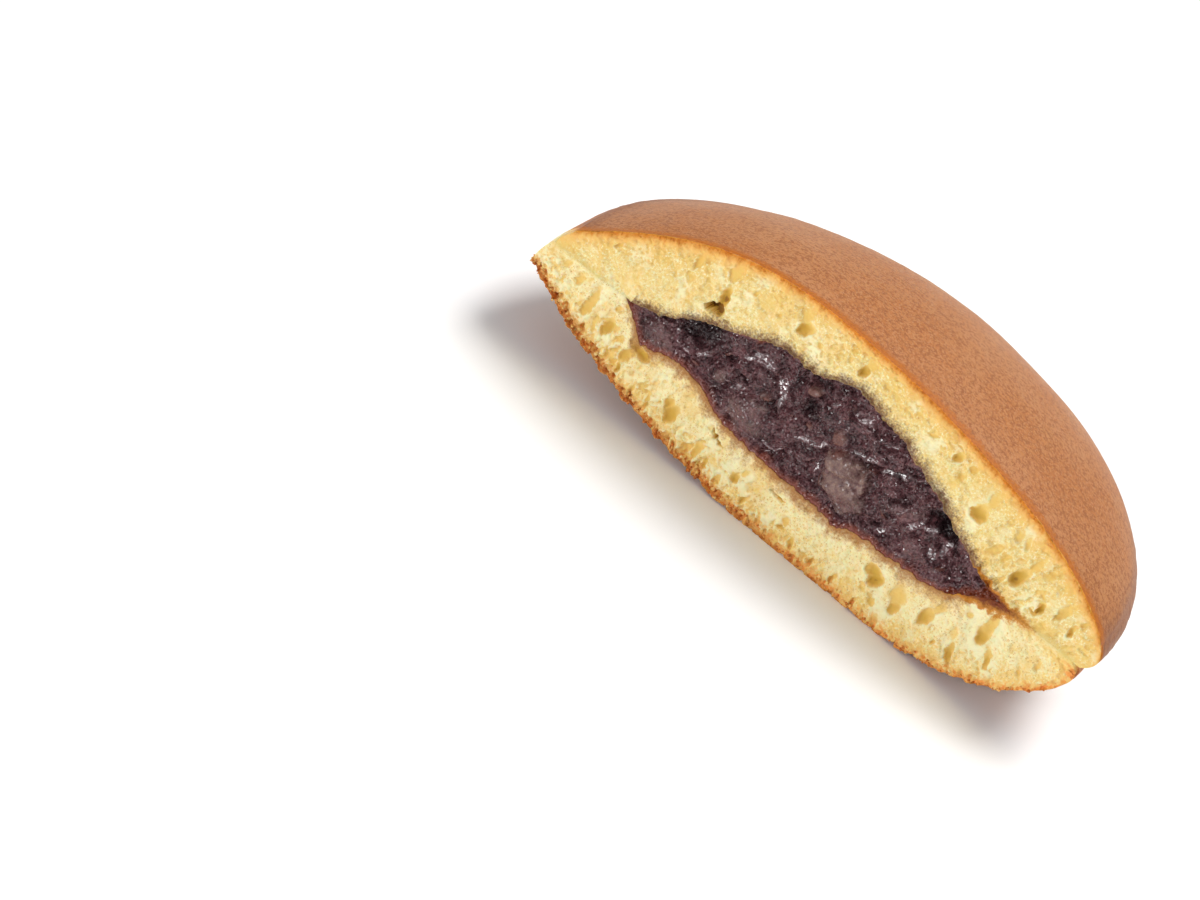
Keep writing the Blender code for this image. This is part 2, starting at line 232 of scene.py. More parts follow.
# Bits of red-brown bean skin: (x, z, half length, half width, turn in degrees)
SKINS = (
    (-4.2, 7.4, 1.1, 0.7, 20), (2.2, 4.1, 1.0, 1.2, 0), (3.4, 2.3, 1.2, 0.5, 50),
    (-2.4, 2.9, 0.6, 0.3, 20), (3.2, -3.3, 0.9, 0.25, -50), (-9.3, 1.8, 0.7, 0.3, 30),
    (8.6, 3.1, 0.9, 0.2, 15), (-17.4, 3.3, 0.8, 0.25, 60), (24.0, -2.0, 0.8, 0.3, 30),
    (13.2, -1.0, 1.0, 0.2, -30), (-20.6, -1.0, 0.8, 0.3, 0),
)

# ---------------------------------------------------------------- colours, linear light

CRUST = (0.428, 0.153, 0.038)
CRUST_DARK = (0.265, 0.080, 0.019)
CRUST_PALE = (0.48, 0.212, 0.082)
CRUST_RIM = (0.17, 0.058, 0.026)
EDGE = (0.50, 0.150, 0.006)
EDGE_LOW = (0.62, 0.185, 0.030)
EDGE_SPECKS = (0.62, 0.5, 0.5)  # multiplies the edge's colour
TOAST = (0.66, 0.235, 0.020)
TOAST_LOW = (0.88, 0.345, 0.075)
DARK_TINT = (0.69, 0.55, 0.50)  # multiplies the toast colours: painted shade towards the lower pancake's left end, and a slight fixed darkening at the crust edge and side band
GOLD = (0.90, 0.53, 0.145)
GOLD_LOW = (0.92, 0.56, 0.17)
CRUMB = (0.868, 0.595, 0.180)
CRUMB_PALE = (0.888, 0.705, 0.305)
CRUMB_LOW = (0.98, 0.705, 0.27)
CRUMB_LOW_PALE = (0.99, 0.84, 0.465)
# pale flecks of crumb, also used as painted highlight on raised froth, lumps and bubble rims
FLECK_AND_HIGHLIGHT = (0.98, 0.90, 0.57)
YELLOW = (0.85, 0.575, 0.155)
# painted shade in deep bubbles
AMBER_SHADE = (0.60, 0.36, 0.045)
BROWN_SHADE = (0.30, 0.13, 0.025)
# painted shade in the crumb's pores
PORE_SHADE = (0.68, 0.42, 0.13)
CLEAR = (0.90, 0.60, 0.19)
# toast near the lower crust, and painted shade in its torn pits
PIT_TOAST_AND_SHADE = (0.55, 0.19, 0.040)
PASTE = (0.030, 0.012, 0.014)
PASTE_HAZE = (0.170, 0.066, 0.073)
# painted shade in the paste's hollows
PASTE_PIT_SHADE = (0.006, 0.003, 0.004)
PASTE_RED = (0.26, 0.066, 0.043)
BEAN = (0.11, 0.044, 0.040)
BEAN_PALE = (0.34, 0.215, 0.165)
SKIN = (0.15, 0.045, 0.032)
SYRUP = (0.165, 0.024, 0.002)
SMEAR = (0.175, 0.064, 0.036)
SOAK = (0.40, 0.160, 0.040)
STAIN = (0.19, 0.030, 0.002)
STAIN_PALE = (0.60, 0.23, 0.012)

# ---------------------------------------------------------------- repeatable roughness


def dice(i, j, seed):
    """A repeatable random number from -1 to 1 for each pair of whole numbers."""
    i = i.astype(np.int64)
    j = j.astype(np.int64)
    mixed = (i * 374761393 + j * 668265263 + seed * 974711417) & 0xFFFFFFFF
    mixed = ((mixed ^ (mixed >> 13)) * 1274126177) & 0xFFFFFFFF
    mixed = mixed ^ (mixed >> 16)
    return mixed / 2147483647.5 - 1.0


def soft_noise(x, y, size, seed, octaves=1):
    """Smooth random heights from about -1 to 1, with features about `size` apart."""
    total = np.zeros(np.broadcast(x, y).shape)
    share = 1.0
    for octave in range(octaves):
        turn = 0.6 + 1.1 * octave
        u = (x * math.cos(turn) - y * math.sin(turn)) / size
        v = (x * math.sin(turn) + y * math.cos(turn)) / size
        i, j = np.floor(u), np.floor(v)
        fu, fv = u - i, v - j
        su, sv = fu * fu * (3 - 2 * fu), fv * fv * (3 - 2 * fv)
        low = dice(i, j, seed + octave) * (1 - su) + dice(i + 1, j, seed + octave) * su
        high = dice(i, j + 1, seed + octave) * (1 - su) + dice(i + 1, j + 1, seed + octave) * su
        total += share * (low * (1 - sv) + high * sv)
        share *= 0.5
        size *= 0.5
    return total


def nearest_cell(x, y, size, seed):
    """Distance to the nearest of many scattered points, in units of `size`, and that point's own number."""
    u, v = x / size, y / size
    i, j = np.floor(u), np.floor(v)
    best = np.full(u.shape, FAR)
    number = np.zeros(u.shape)
    for di in (-1, 0, 1):
        for dj in (-1, 0, 1):
            a, b = i + di, j + dj
            away = np.hypot(u - a - 0.5 - 0.45 * dice(a, b, seed), v - b - 0.5 - 0.45 * dice(a, b, seed + 7))
            closer = away < best
            best = np.where(closer, away, best)
            number = np.where(closer, dice(a, b, seed + 13), number)
    return best, number


def ease(low, high, value):
    """0 below low, 1 above high, smooth between."""
    share = np.clip((value - low) / (high - low), 0, 1)
    return share * share * (3 - 2 * share)


def bent(x, z, seed, *waves):
    """The same places, moved by waves of (height, spacing, octaves), so that outlines come out uneven."""
    moved = []
    for place, first in ((x, seed), (z, seed + 2)):
        for step, (height, size, octaves) in enumerate(waves):
            place = place + height * soft_noise(x, z, size, first + step, octaves)
        moved.append(place)
    return moved


def oval(x, z, at_x, at_z, half_width, half_height, turn):
    """0 in the middle of a turned oval, 1 on its outline and more outside."""
    c, s = math.cos(math.radians(turn)), math.sin(math.radians(turn))
    u, w = x - at_x, z - at_z
    return ((u * c + w * s) / half_width) ** 2 + ((w * c - u * s) / half_height) ** 2


def press_shapes(x, z, shapes, scoop=0.0):
    """Hollows, swellings and the rims of hollows over the cut face.

    A positive depth makes a hollow, a negative one a swelling. Scooped hollows run out shallow at the top.
    """
    hollow, swelling, rims = np.zeros(x.shape), np.zeros(x.shape), np.zeros(x.shape)
    for at_x, at_z, half_width, half_height, lean, depth in shapes:
        reach_out = 1.5 * max(half_width, half_height)
        near = (np.abs(x - at_x) < reach_out) & (np.abs(z - at_z) < reach_out)
        if not near.any():
            continue
        u, w = x[near] - at_x, z[near] - at_z
        c, s = math.cos(math.radians(lean)), math.sin(math.radians(lean))
        upward = (u * s + w * c) / half_height
        square = ((u * c - w * s) / half_width) ** 2 + upward**2
        if depth > 0:
            slant = np.clip(1 - scoop * upward, 0.1, 2) / (1 + 0.3 * scoop)
            crisp = np.clip(0.75 + 1.2 * scoop * upward, 0.4, 2.0)
            bowl = depth * slant * np.clip(1 - square ** (1 + 0.3 * depth), 0, 1) ** crisp
            hollow[near] = np.maximum(hollow[near], bowl)
            rim = np.exp(-(((np.sqrt(square) - 1.1) * min(half_width, half_height) / 0.2) ** 2))
            rim = rim * ease(0.4, -0.6, upward) * min(depth, 1.0)
            rims[near] = np.maximum(rims[near], rim)
        else:
            swelling[near] += -depth * np.clip(1 - square, 0, 1) ** 2
    return hollow, swelling, rims


# ---------------------------------------------------------------- the sweet's form


def reach(x, y, start, middle, radius):
    """How far each point lies, 0 to 1, on its way from start to a circle round middle, and its angle."""
    away_x, away_y = x - start[0], y - start[1]
    length = np.hypot(away_x, away_y) + 1e-9
    dir_x, dir_y = away_x / length, away_y / length
    off_x, off_y = start[0] - middle[0], start[1] - middle[1]
    along = off_x * dir_x + off_y * dir_y
    whole = -along + np.sqrt(along * along - off_x * off_x - off_y * off_y + radius * radius)
    return np.clip(length / whole, 0, 1), np.arctan2(off_y + dir_y * whole, off_x + dir_x * whole)


def at_angle(pancake, measure, angle):
    """A measure that changes from one end of the pancake to the other."""
    return pancake[measure] + pancake[measure + "_tilt"] * np.cos(angle)


def crust_height(pancake, x, y):
    """Height of the browned surface away from the seam."""
    middle = (pancake["middle_x"], CENTRE_Y)
    share, angle = reach(x, y, pancake["peak_at"], middle, pancake["rim_radius"] - pancake["crust_inset"])
    edge = at_angle(pancake, "crust_edge", angle)
    dome = (1 - share ** at_angle(pancake, "fullness", angle)) ** at_angle(pancake, "shoulder", angle)
    height = edge + (pancake["peak"] - edge) * dome
    for dent_x, dent_y, width, depth in pancake["dents"]:
        apart = ((x - dent_x) ** 2 + (y - dent_y) ** 2) / (width * width)
        height = height - (1 - share**8) * depth * np.exp(-apart)
    return np.minimum(height, resting_height(pancake))


def resting_height(pancake):
    """Height that the crust never passes, where it is flattened."""
    return pancake["peak"] - pancake["flat"]


def smooth_outline(points):
    """A soft, slightly uneven curve through given points, as a function of x."""
    softness = 0.45
    grid = np.arange(-60, 60, 0.1)
    line = np.interp(grid, [p[0] for p in points], [p[1] for p in points], 0.0, 0.0)
    weights = np.exp(-((np.arange(-3, 3.01, 0.1) / softness) ** 2))
    line = np.convolve(line, weights / weights.sum(), "same")
    wobble = soft_noise(grid, grid * 0 + 3.0, 1.3, 41, 2) + soft_noise(grid, grid * 0, 0.6, 43, 2)
    line = line + 0.22 * wobble * np.clip(np.abs(line) / 1.5, 0, 1)
    return lambda x: np.interp(x, grid, line)


PASTE_LINES = {1: smooth_outline(PASTE_UPPER), -1: smooth_outline(PASTE_LOWER)}


def paste_height(side, x, y):
    """Thickness of the paste above (side 1) or below (side -1) the seam, with its outline at the cut."""
    half = FILL_HALVES[side]
    share, _ = reach(x, y, half["peak_at"], FILL_MIDDLE, FILL_RADIUS)
    inside = half["peak"] * (1 - share * share) ** half["taper"]
    at_cut = np.exp(-((y / 5.0) ** 2))
    return np.maximum(inside * (1 - at_cut) + side * PASTE_LINES[side](x) * at_cut, 0)


def pinch(angle):
    """1 at the pinched left end, 0 past its width round the rim."""
    return ease(PINCH_WIDTH, 0, np.abs(np.mod(angle, 2 * math.pi) - math.pi))


def side_inset(pancake, share, angle):
    """How far the side band lies inside the rim, from the seam (share 0) to the crust's edge (share 1)."""
    up = np.clip((share - 0.5) / 0.5, 0, 1) ** 2 * pancake["crust_inset"]
    down = np.clip((0.5 - share) / 0.5, 0, 1) ** 2 * SEAM_INSET
    a, b, c = pancake["pinched"]
    amount = pinch(angle)
    return (up + down) * (1 - amount) + (a + b * share + c * share * share) * amount


def cut_ends(pancake, share):
    """x of the cut's left and right ends, at a share of the height from the seam to the crust."""
    first = math.asin(CENTRE_Y / (pancake["rim_radius"] - pancake["crust_inset"]))
    inset = side_inset(pancake, share, np.array([math.pi + first, -first]))
    half = np.sqrt((pancake["rim_radius"] - inset) ** 2 - CENTRE_Y**2)
    return pancake["middle_x"] - half[..., 0], pancake["middle_x"] + half[..., 1]


def round_middle(pancake, radius, angle):
    """x and y on a circle round the pancake's middle."""
    return pancake["middle_x"] + radius * np.cos(angle), CENTRE_Y + radius * np.sin(angle)


# ---------------------------------------------------------------- closed pieces

top_low, top_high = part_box("top_pancake")
_, bottom_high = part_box("bottom_pancake")
MIDDLE = Vector(
    (
        top_high.x - (TOP["middle_x"] + TOP["rim_radius"]) * MM,
        top_low.y,
        (top_low.z + bottom_high.z) / 2,
    )
)


def dense_ends(count, pull):
    """Numbers from 0 to 1, closer together near both ends."""
    t = np.linspace(0, 1, count)
    return t - pull * np.sin(2 * math.pi * t) / (2 * math.pi)


def round_angles(radius, short, share):
    """Angles round the back from the cut's left end to its right one, a little short of both."""
    first = math.asin(CENTRE_Y / radius) - short
    return (math.pi + first) * (1 - share) - first * share


class Rings:
    """Rows of points along the cut that wrap a piece from its face round to its back, with marks on them."""

    def __init__(self, *marks):
        self.rows = []
        self.marks = {mark: [] for mark in marks}

    def add(self, x, y, z, **known):
        row = np.stack(np.broadcast_arrays(x, y, z), -1)
        self.rows.append(row)
        for mark, values in self.marks.items():
            values.append(np.broadcast_to(known.get(mark, 0.0), row.shape[:1]))

    def add_face(self, x, y, z, **known):
        """All the rows of a face, from whole grids."""
        known = {mark: np.broadcast_to(grid, x.shape) for mark, grid in known.items()}
        for k in range(len(x)):
            self.add(x[k], y[k], z[k], **{mark: grid[k] for mark, grid in known.items()})

    def piece(self, name, material, sharp_first_row=False):
        """The closed shell through all rows, both ends capped, faces outwards."""
        grid = np.stack(self.rows)
        loop, columns = grid.shape[:2]
        index = np.arange(loop * columns).reshape(loop, columns)
        after = np.roll(index, -1, axis=0)
        quads = np.stack([index[:, :-1], index[:, 1:], after[:, 1:], after[:, :-1]], axis=-1).reshape(-1, 4)
        caps = [index[:, 0].tolist(), index[::-1, -1].tolist()]
        data = bpy.data.meshes.new(name)
        data.from_pydata((grid.reshape(-1, 3) * MM + np.array(MIDDLE)).tolist(), [], quads.tolist() + caps)
        for mark, values in self.marks.items():
            layer = data.attributes.new(mark, "FLOAT", "POINT")
            layer.data.foreach_set("value", np.stack(values).astype(np.float32).ravel())
        finish_shell(data, columns if sharp_first_row else 0)
        data.materials.append(material)
        made = bpy.data.objects.new(name, data)
        bpy.context.scene.collection.objects.link(made)
        return made


def finish_shell(data, sharp):
    """Cut the end caps into triangles, turn faces outwards, and keep the edges of the first points sharp."""
    shell = bmesh.new()
    shell.from_mesh(data)
    bmesh.ops.triangulate(shell, faces=[face for face in shell.faces if len(face.verts) > 4])
    bmesh.ops.recalc_face_normals(shell, faces=shell.faces)
    shell.verts.ensure_lookup_table()
    for a in range(sharp - 1):
        edge = shell.edges.get((shell.verts[a], shell.verts[a + 1]))
        if edge:
            edge.smooth = False
    shell.to_mesh(data)
    shell.free()
    data.polygons.foreach_set("use_smooth", [True] * len(data.polygons))


# ---------------------------------------------------------------- sponge pancakes


def scatter_bubbles(pancake):
    """Small bubbles strewn over the cut face, drawn out away from the crust, that keep clear of others."""
    side = pancake["side"]
    seed, count, stretch, depths, (below_crust, above_paste) = pancake["strewn"]
    small, large = STREWN_HALF_WIDTHS
    rng = np.random.default_rng(seed)
    grid = np.linspace(-46, 47, 400)
    edges = crust_height(pancake, grid, 0 * grid)
    pastes = paste_height(side, grid, 0 * grid)
    found = []
    taken = [(b[0], b[1], 0.8 * max(b[2], b[3])) for b in (TOP_BUBBLES if side > 0 else BOTTOM_BUBBLES)]
    for _ in range(count):
        x = rng.uniform(-45, 46)
        edge, paste = np.interp(x, grid, edges), np.interp(x, grid, pastes)
        size = small + (large - small) * rng.random() ** 2.2
        length = size * rng.uniform(*stretch)
        room = edge - paste - below_crust - above_paste - length
        place, turn, bowl = rng.random(), rng.normal(0, 12), rng.uniform(*depths)
        if room <= 0:
            continue
        z = side * (edge - below_crust - length / 2 - room * place**1.25)
        if any(math.hypot(x - a, z - b) < 0.75 * length + c for a, b, c in taken):
            continue
        lean = math.degrees(math.atan2(x, 60.0)) * side
        taken.append((x, z, 0.7 * length))
        found.append((x, z, size, length, lean + turn, bowl * size))
    return found


def opened_bubbles(pancake, x, z):
    """Depth of the bubbles and tears that the cut opened, and how near each point is to a bubble's rim."""
    strewn = scatter_bubbles(pancake)
    if pancake["side"] < 0:
        strewn.extend(TEARS)
    large, _, rims = press_shapes(x, z, TOP_BUBBLES + BOTTOM_BUBBLES, 0.65)
    small, _, fine_rims = press_shapes(x, z, strewn, 0.5)
    depth = np.maximum(large, small)
    return depth, np.maximum(rims, 0.7 * fine_rims)


def open_cells(x, z, stretch, seed):
    """Depth of the small open cells of the crumb."""
    depth = np.zeros(x.shape)
    for number, (size, common, deep) in enumerate(CELLS):
        away, own = nearest_cell(x, z / stretch, size, seed + 31 * number)
        present = ease(1 - 2 * common, 1.35 - 2 * common, own)
        radius = 0.26 + 0.20 * np.mod(own * 7.0, 1.0)
        depth = np.maximum(depth, deep * present * np.clip(1 - (away / radius) ** 2, 0, 1) ** 0.8)
    return depth


def foam_cells(side, x, z, fan_x, wavy_z, crust_gap):
    """Depth of the foam: round cells, taller at the right above the paste and towards the crust below it."""
    cells = open_cells(fan_x, wavy_z, 1.35, 151)
    if side > 0:
        tall = ease(10.0, 30.0, x)
        return 0.8 * cells * (1 - tall) + open_cells(fan_x, wavy_z, 2.6, 351) * tall
    tall = ease(0.0, 2.5, -z)
    tall_cells = open_cells(fan_x, wavy_z, 2.2, 251) * (0.35 + 0.85 * ease(8.0, 3.0, crust_gap))
    return (cells * (1 - tall) + tall_cells * tall) * (1 + 0.7 * ease(5.0, -25.0, x))


def torn_lumps(x, z, bend_x, bend_z, crust_gap):
    """Where the lower crumb is torn into lumps, and the creases between them."""
    lumpy = ease(7.5, 3.0, crust_gap) * ease(14.0, -18.0, x) * ease(-0.9, 0.3, soft_noise(x, z, 3.2, 43))
    clots, _ = nearest_cell(bend_x * 1.1, bend_z * 0.85, 1.25, 45)
    bits, _ = nearest_cell(bend_x, bend_z, 0.62, 47)
    return lumpy, 0.95 * clots * clots + 0.5 * bits * bits


def crumb_relief(pancake, x, z, crust_gap):
    """(depth into the face, how hollow, and a colour mark) for the cut crumb. The mark gives painted shade
    in cells and creases, painted highlight on swells, lumps and bubble rims, and a golden tone where the
    pancakes grow together.
    """
    side = pancake["side"]
    bend_x, bend_z = bent(x, z, 3, (0.22, 1.5, 2), (0.16, 0.6, 2))
    depth, rims = opened_bubbles(pancake, bend_x, bend_z)
    rims = rims * ease(0.25, 0.0, depth) * ease(-0.4, 0.6, soft_noise(x, z, 0.9, 39, 2))
    # how deep each bubble is; the crumb's colour darkens with it as painted shade
    hollow = np.clip(depth / 2.0, 0, 1)
    calm = 1 - 0.8 * ease(0.1, 0.4, hollow)
    dense = 1 - 0.45 * ease(35.0, 41.0, np.abs(x))
    fan_x, wavy_z = bent(x, z, 7, (0.4, 0.8, 3))
    fan_x = fan_x - 0.012 * x * np.abs(z)  # cells fan out from the crust
    patches = 0.8 + 0.5 * soft_noise(x, z, 4.2, 35)
    cells = foam_cells(side, x, z, fan_x, wavy_z, crust_gap)
    foam = calm * dense * patches * cells * ease(0.1, 0.8, crust_gap) * (1 - 0.7 * rims)
    texture = calm * (0.08 * soft_noise(x, z, 1.6, 31, 2) + 0.03 * soft_noise(x, z, 0.42, 33))
    folds = np.abs(soft_noise(fan_x, wavy_z * 0.6, 2.6, 41, 2))  # soft swells with creases between
    sag = 0.25 * soft_noise(x, z, 5.0, 37) + 0.35 * calm * folds
    # colour mark: painted shade in cells and creases, painted highlight on swells, lumps and bubble rims
    painted_light_and_gold = foam / 0.45 - 0.6 * rims + 0.9 * calm * (0.22 - folds)
    if side < 0:
        lumpy, creases = torn_lumps(x, z, bend_x, bend_z, crust_gap)
        sag = sag + calm * lumpy * creases
        painted_light_and_gold = painted_light_and_gold + calm * lumpy * (1.9 * creases - 0.85)
    # past the paste's tips the two pancakes have grown together
    apart = 1 - ease(34.0, 38.5, np.abs(x)) * ease(1.3, 0.0, np.abs(z))
    sag = sag * apart * ease(48.0, 43.0, np.abs(x))
    golden = ease(34.0, 41.0, np.abs(x)) * ease(3.4, 0.4, np.abs(z) + 0.9 * soft_noise(x, z, 1.5, 49, 2))
    painted_light_and_gold = painted_light_and_gold * apart + 0.55 * golden
    return 0.7 * depth + foam * apart + texture + sag - 0.12 * rims, hollow, painted_light_and_gold


def torn_grains(x, gap):
    """Pits and grains along the lower crust, where the cut has torn it."""
    bend = x + 0.35 * soft_noise(x, gap, 0.9, 53, 2)
    tall = 1.0 + 0.8 * soft_noise(x, 0 * x, 3.0, 55, 2)
    away, own = nearest_cell(bend, gap * 0.5, 0.8, 51)
    fine, _ = nearest_cell(bend, gap * 0.8, 0.42, 57)
    pits = 2.9 * np.clip(0.42 - away, 0, 1) * ease(-0.5, 0.4, own) + 0.5 * (fine - 0.25)
    return pits * ease(1.9 * tall + 0.5, 0.4, gap)


def cut_outline(pancake):
    """Along the cut, from left to right: where the crust and the seam lie, and the way to the rim."""
    side, share = pancake["side"], np.linspace(0, 1, COLUMNS)
    top_left, top_right = cut_ends(pancake, 1.0)
    seam_left, seam_right = cut_ends(pancake, 0.0)
    crust_x = top_left * (1 - share) + top_right * share
    seam_x = seam_left * (1 - share) + seam_right * share
    crust_z = crust_height(pancake, crust_x, 0 * crust_x)
    slope = np.gradient(crust_z, crust_x)
    uneven, spacing, seed, octaves = pancake["ragged"]
    rim = pancake["rim_radius"]
    return SimpleNamespace(
        share=share,
        angle=round_angles(rim - pancake["crust_inset"], 1.4 / rim, share),
        crust_x=crust_x,
        crust_z=crust_z,
        upright=1 / np.sqrt(1 + slope * slope),
        ragged=uneven * soft_noise(crust_x, 0 * crust_x, spacing, seed, octaves),
        seam_x=seam_x,
        seam_z=paste_height(side, seam_x, 0 * seam_x),
        away_from_ends=ease(0.0, 1.0, np.minimum(share, 1 - share) * COLUMNS / 10),
    )


def paste_stains(pancake, x, z, paste_gap):
    """How wet with syrup, and how soaked by the paste, each point of the cut crumb is."""
    ragged = 1 + 0.45 * soft_noise(x, z, 1.1, 73, 3)
    run = np.interp(x, STAIN_ALONG, pancake["stain"]) * ragged
    wet = np.interp(x, STAIN_ALONG, STAIN_STRENGTH) * np.clip(1 - paste_gap / run, 0, 1)
    soaked = np.clip(1 - paste_gap / (2.9 * ragged), 0, 1) * ease(-36, -30, x) * ease(31.5, 29.5, x)
    return wet, soaked * (pancake["side"] < 0)


def add_cut_face(rings, pancake, cut):
    """The cut face from the seam to the crust, with its bubbles, torn edge and stains."""
    side, resting = pancake["side"], resting_height(pancake)
    shares = dense_ends(FACE_ROWS, 0.5)[:, None]
    lefts, rights = (ends[:, None] for ends in cut_ends(pancake, shares))
    x = lefts * (1 - cut.share) + rights * cut.share
    height = np.minimum(cut.seam_z + (cut.crust_z + cut.ragged - cut.seam_z) * shares, resting)
    z = side * height
    gap = (cut.crust_z - height) * cut.upright
    paste_gap = height - cut.seam_z
    depth, hollow, foam = crumb_relief(pancake, x, z, gap)
    off_paste = 1 - (1 - ease(-0.05, 0.3, paste_gap)) * (1 - ease(32.5, 34.0, np.abs(x)))
    depth = depth * ease(0.02, 0.35, gap + 0.06) * off_paste
    crumbly = 0.0
    if side < 0:
        torn = torn_grains(x, gap)
        depth = depth + torn * ease(0.0, 0.2, gap + 0.1) * np.interp(x, (-20, 5, 20), (0.95, 0.75, 0.5))
        # torn pits count as hollow, so the crumb colours paint them darker: painted shade
        hollow = np.clip(hollow + 0.35 * np.clip(torn, 0, 1), 0, 1)
        gap = np.minimum(gap, np.abs(rights - x) + 3.0 * np.clip(z + 0.9, 0, FAR))
        most_at_left = np.interp(x, (-44, -20, 0, 30, 42), (2.2, 1.6, 1.1, 1.2, 0.6))
        crumbly = most_at_left * np.exp(-((gap / 0.8) ** 2)) * ease(0.1, 0.5, resting - height)
        crumbly = crumbly * (1 - ease(0.2, 0.6, hollow))
    else:
        depth = depth + 0.16 * (1 - ease(0, 0.4, gap)) * (1 + 0.7 * soft_noise(x, gap, 0.8, 71, 2))
    wet, soaked = paste_stains(pancake, x, z, paste_gap)
    rings.add_face(
        x,
        depth * cut.away_from_ends,
        z,
        cut=1.0,
        crust_gap=gap * np.interp(x, BAKING_ALONG, pancake["baking"]),
        paste_gap=np.where(np.abs(x) < 33.0, paste_gap, 5.0),
        hollow=hollow,
        foam=foam,
        wet=wet,
        soaked=soaked,
        # painted shade: darker towards the lower pancake's left end
        baked=np.interp(x, (-42, -16, 0, 12), (0.7, 0.5, 0.25, 0.0)) * (side < 0),
        crumbly=crumbly,
    )


def add_crust(rings, pancake, cut):
    """The browned dome from the cut back to its rim."""
    resting = resting_height(pancake)
    brim = pancake["rim_radius"] - side_inset(pancake, 1.0, cut.angle)
    rim_x, rim_y = round_middle(pancake, brim, cut.angle)
    for k in range(1, CRUST_ROWS):
        share = (k / (CRUST_ROWS - 1)) ** 1.45
        x = cut.crust_x + (rim_x - cut.crust_x) * share
        y = rim_y * share
        behind = np.hypot(x - cut.crust_x, y)
        height = crust_height(pancake, x, y) + cut.ragged * math.exp(-((share * 62.5) ** 2))
        height = height - 0.14 * np.clip(1 - behind / 0.55, 0, 1) ** 2  # the cut edge is a little rounded
        uneven = 0.10 * soft_noise(x, y, 7.0, 81, 2) + 0.03 * soft_noise(x, y, 1.4, 83, 2)
        uneven = uneven * ease(0, 0.125, 1 - share) * ease(0, 1 / 30, share)
        if pancake["flat"]:
            uneven = uneven * ease(0.4, 1.2, pancake["peak"] - height)
        from_rim = brim - np.hypot(x - pancake["middle_x"], y - CENTRE_Y)
        height = np.minimum(height + uneven, resting)
        rings.add(
            x,
            y,
            pancake["side"] * height,
            crust_gap=np.maximum(-behind, -3.0),
            paste_gap=FAR,
            baked=0.3,
            rim=np.exp(-np.clip(from_rim, 0, 50) / 3.2),
        )


def browned_to(pancake, angle):
    """Share of the side's height, from the seam, down to which the browning runs."""
    everywhere, at_end = pancake["brown_reach"]
    at_right = ease(pancake["brown_from"], pancake["brown_from"] + 0.25, np.cos(angle))
    lowest = 1 - everywhere * (1 - pinch(angle)) - (at_end - everywhere) * at_right
    _, y = round_middle(pancake, pancake["rim_radius"], angle)
    return lowest - 0.55 * ease(1.0, 4.0, y) * ease(34.0, 26.0, y) * (np.cos(angle) < 0)


def add_side(rings, pancake, cut):
    """The rounded side band between the crust's rim and the seam."""
    edge = at_angle(pancake, "crust_edge", cut.angle)
    for k in range(1, SIDE_ROWS):
        share = 1 - k / (SIDE_ROWS - 1)
        radius = pancake["rim_radius"] - side_inset(pancake, share, cut.angle)
        radius = radius + 0.05 * soft_noise(cut.angle * 48, share * 4 + 0 * cut.angle, 1.2, 91, 2)
        x, y = round_middle(pancake, radius, cut.angle)
        down = np.clip((browned_to(pancake, cut.angle) - share) * edge * 1.2, -3.0, FAR)
        rings.add(x, y, pancake["side"] * share * edge, crust_gap=down, paste_gap=FAR, baked=0.3, rim=1.0)


def add_seat(rings, pancake, cut):
    """The hidden face that lies on the paste and, outside it, on the other pancake."""
    side = pancake["side"]
    inner = pancake["rim_radius"] - side_inset(pancake, 0.0, cut.angle)
    inner_x, inner_y = round_middle(pancake, inner, cut.angle)
    for k in range(1, SEAT_ROWS):
        share = 1 - k / SEAT_ROWS
        x = cut.seam_x + (inner_x - cut.seam_x) * share
        y = inner_y * share
        on_paste = np.hypot(x - FILL_MIDDLE[0], y - FILL_MIDDLE[1]) < FILL_RADIUS
        rings.add(x, y, side * np.where(on_paste, paste_height(side, x, y), 0), crust_gap=FAR)


def pancake_piece(name, pancake, material):
    """A sponge pancake in one closed shell: its cut face, browned dome, side band and hidden seat."""
    marks = "crust_gap", "hollow", "paste_gap", "cut", "wet", "soaked", "baked", "rim", "foam", "crumbly"
    rings = Rings(*marks)
    cut = cut_outline(pancake)
    for add_part in (add_cut_face, add_crust, add_side, add_seat):
        add_part(rings, pancake, cut)
    return rings.piece(name, material, sharp_first_row=True)


# ---------------------------------------------------------------- loose crumbs


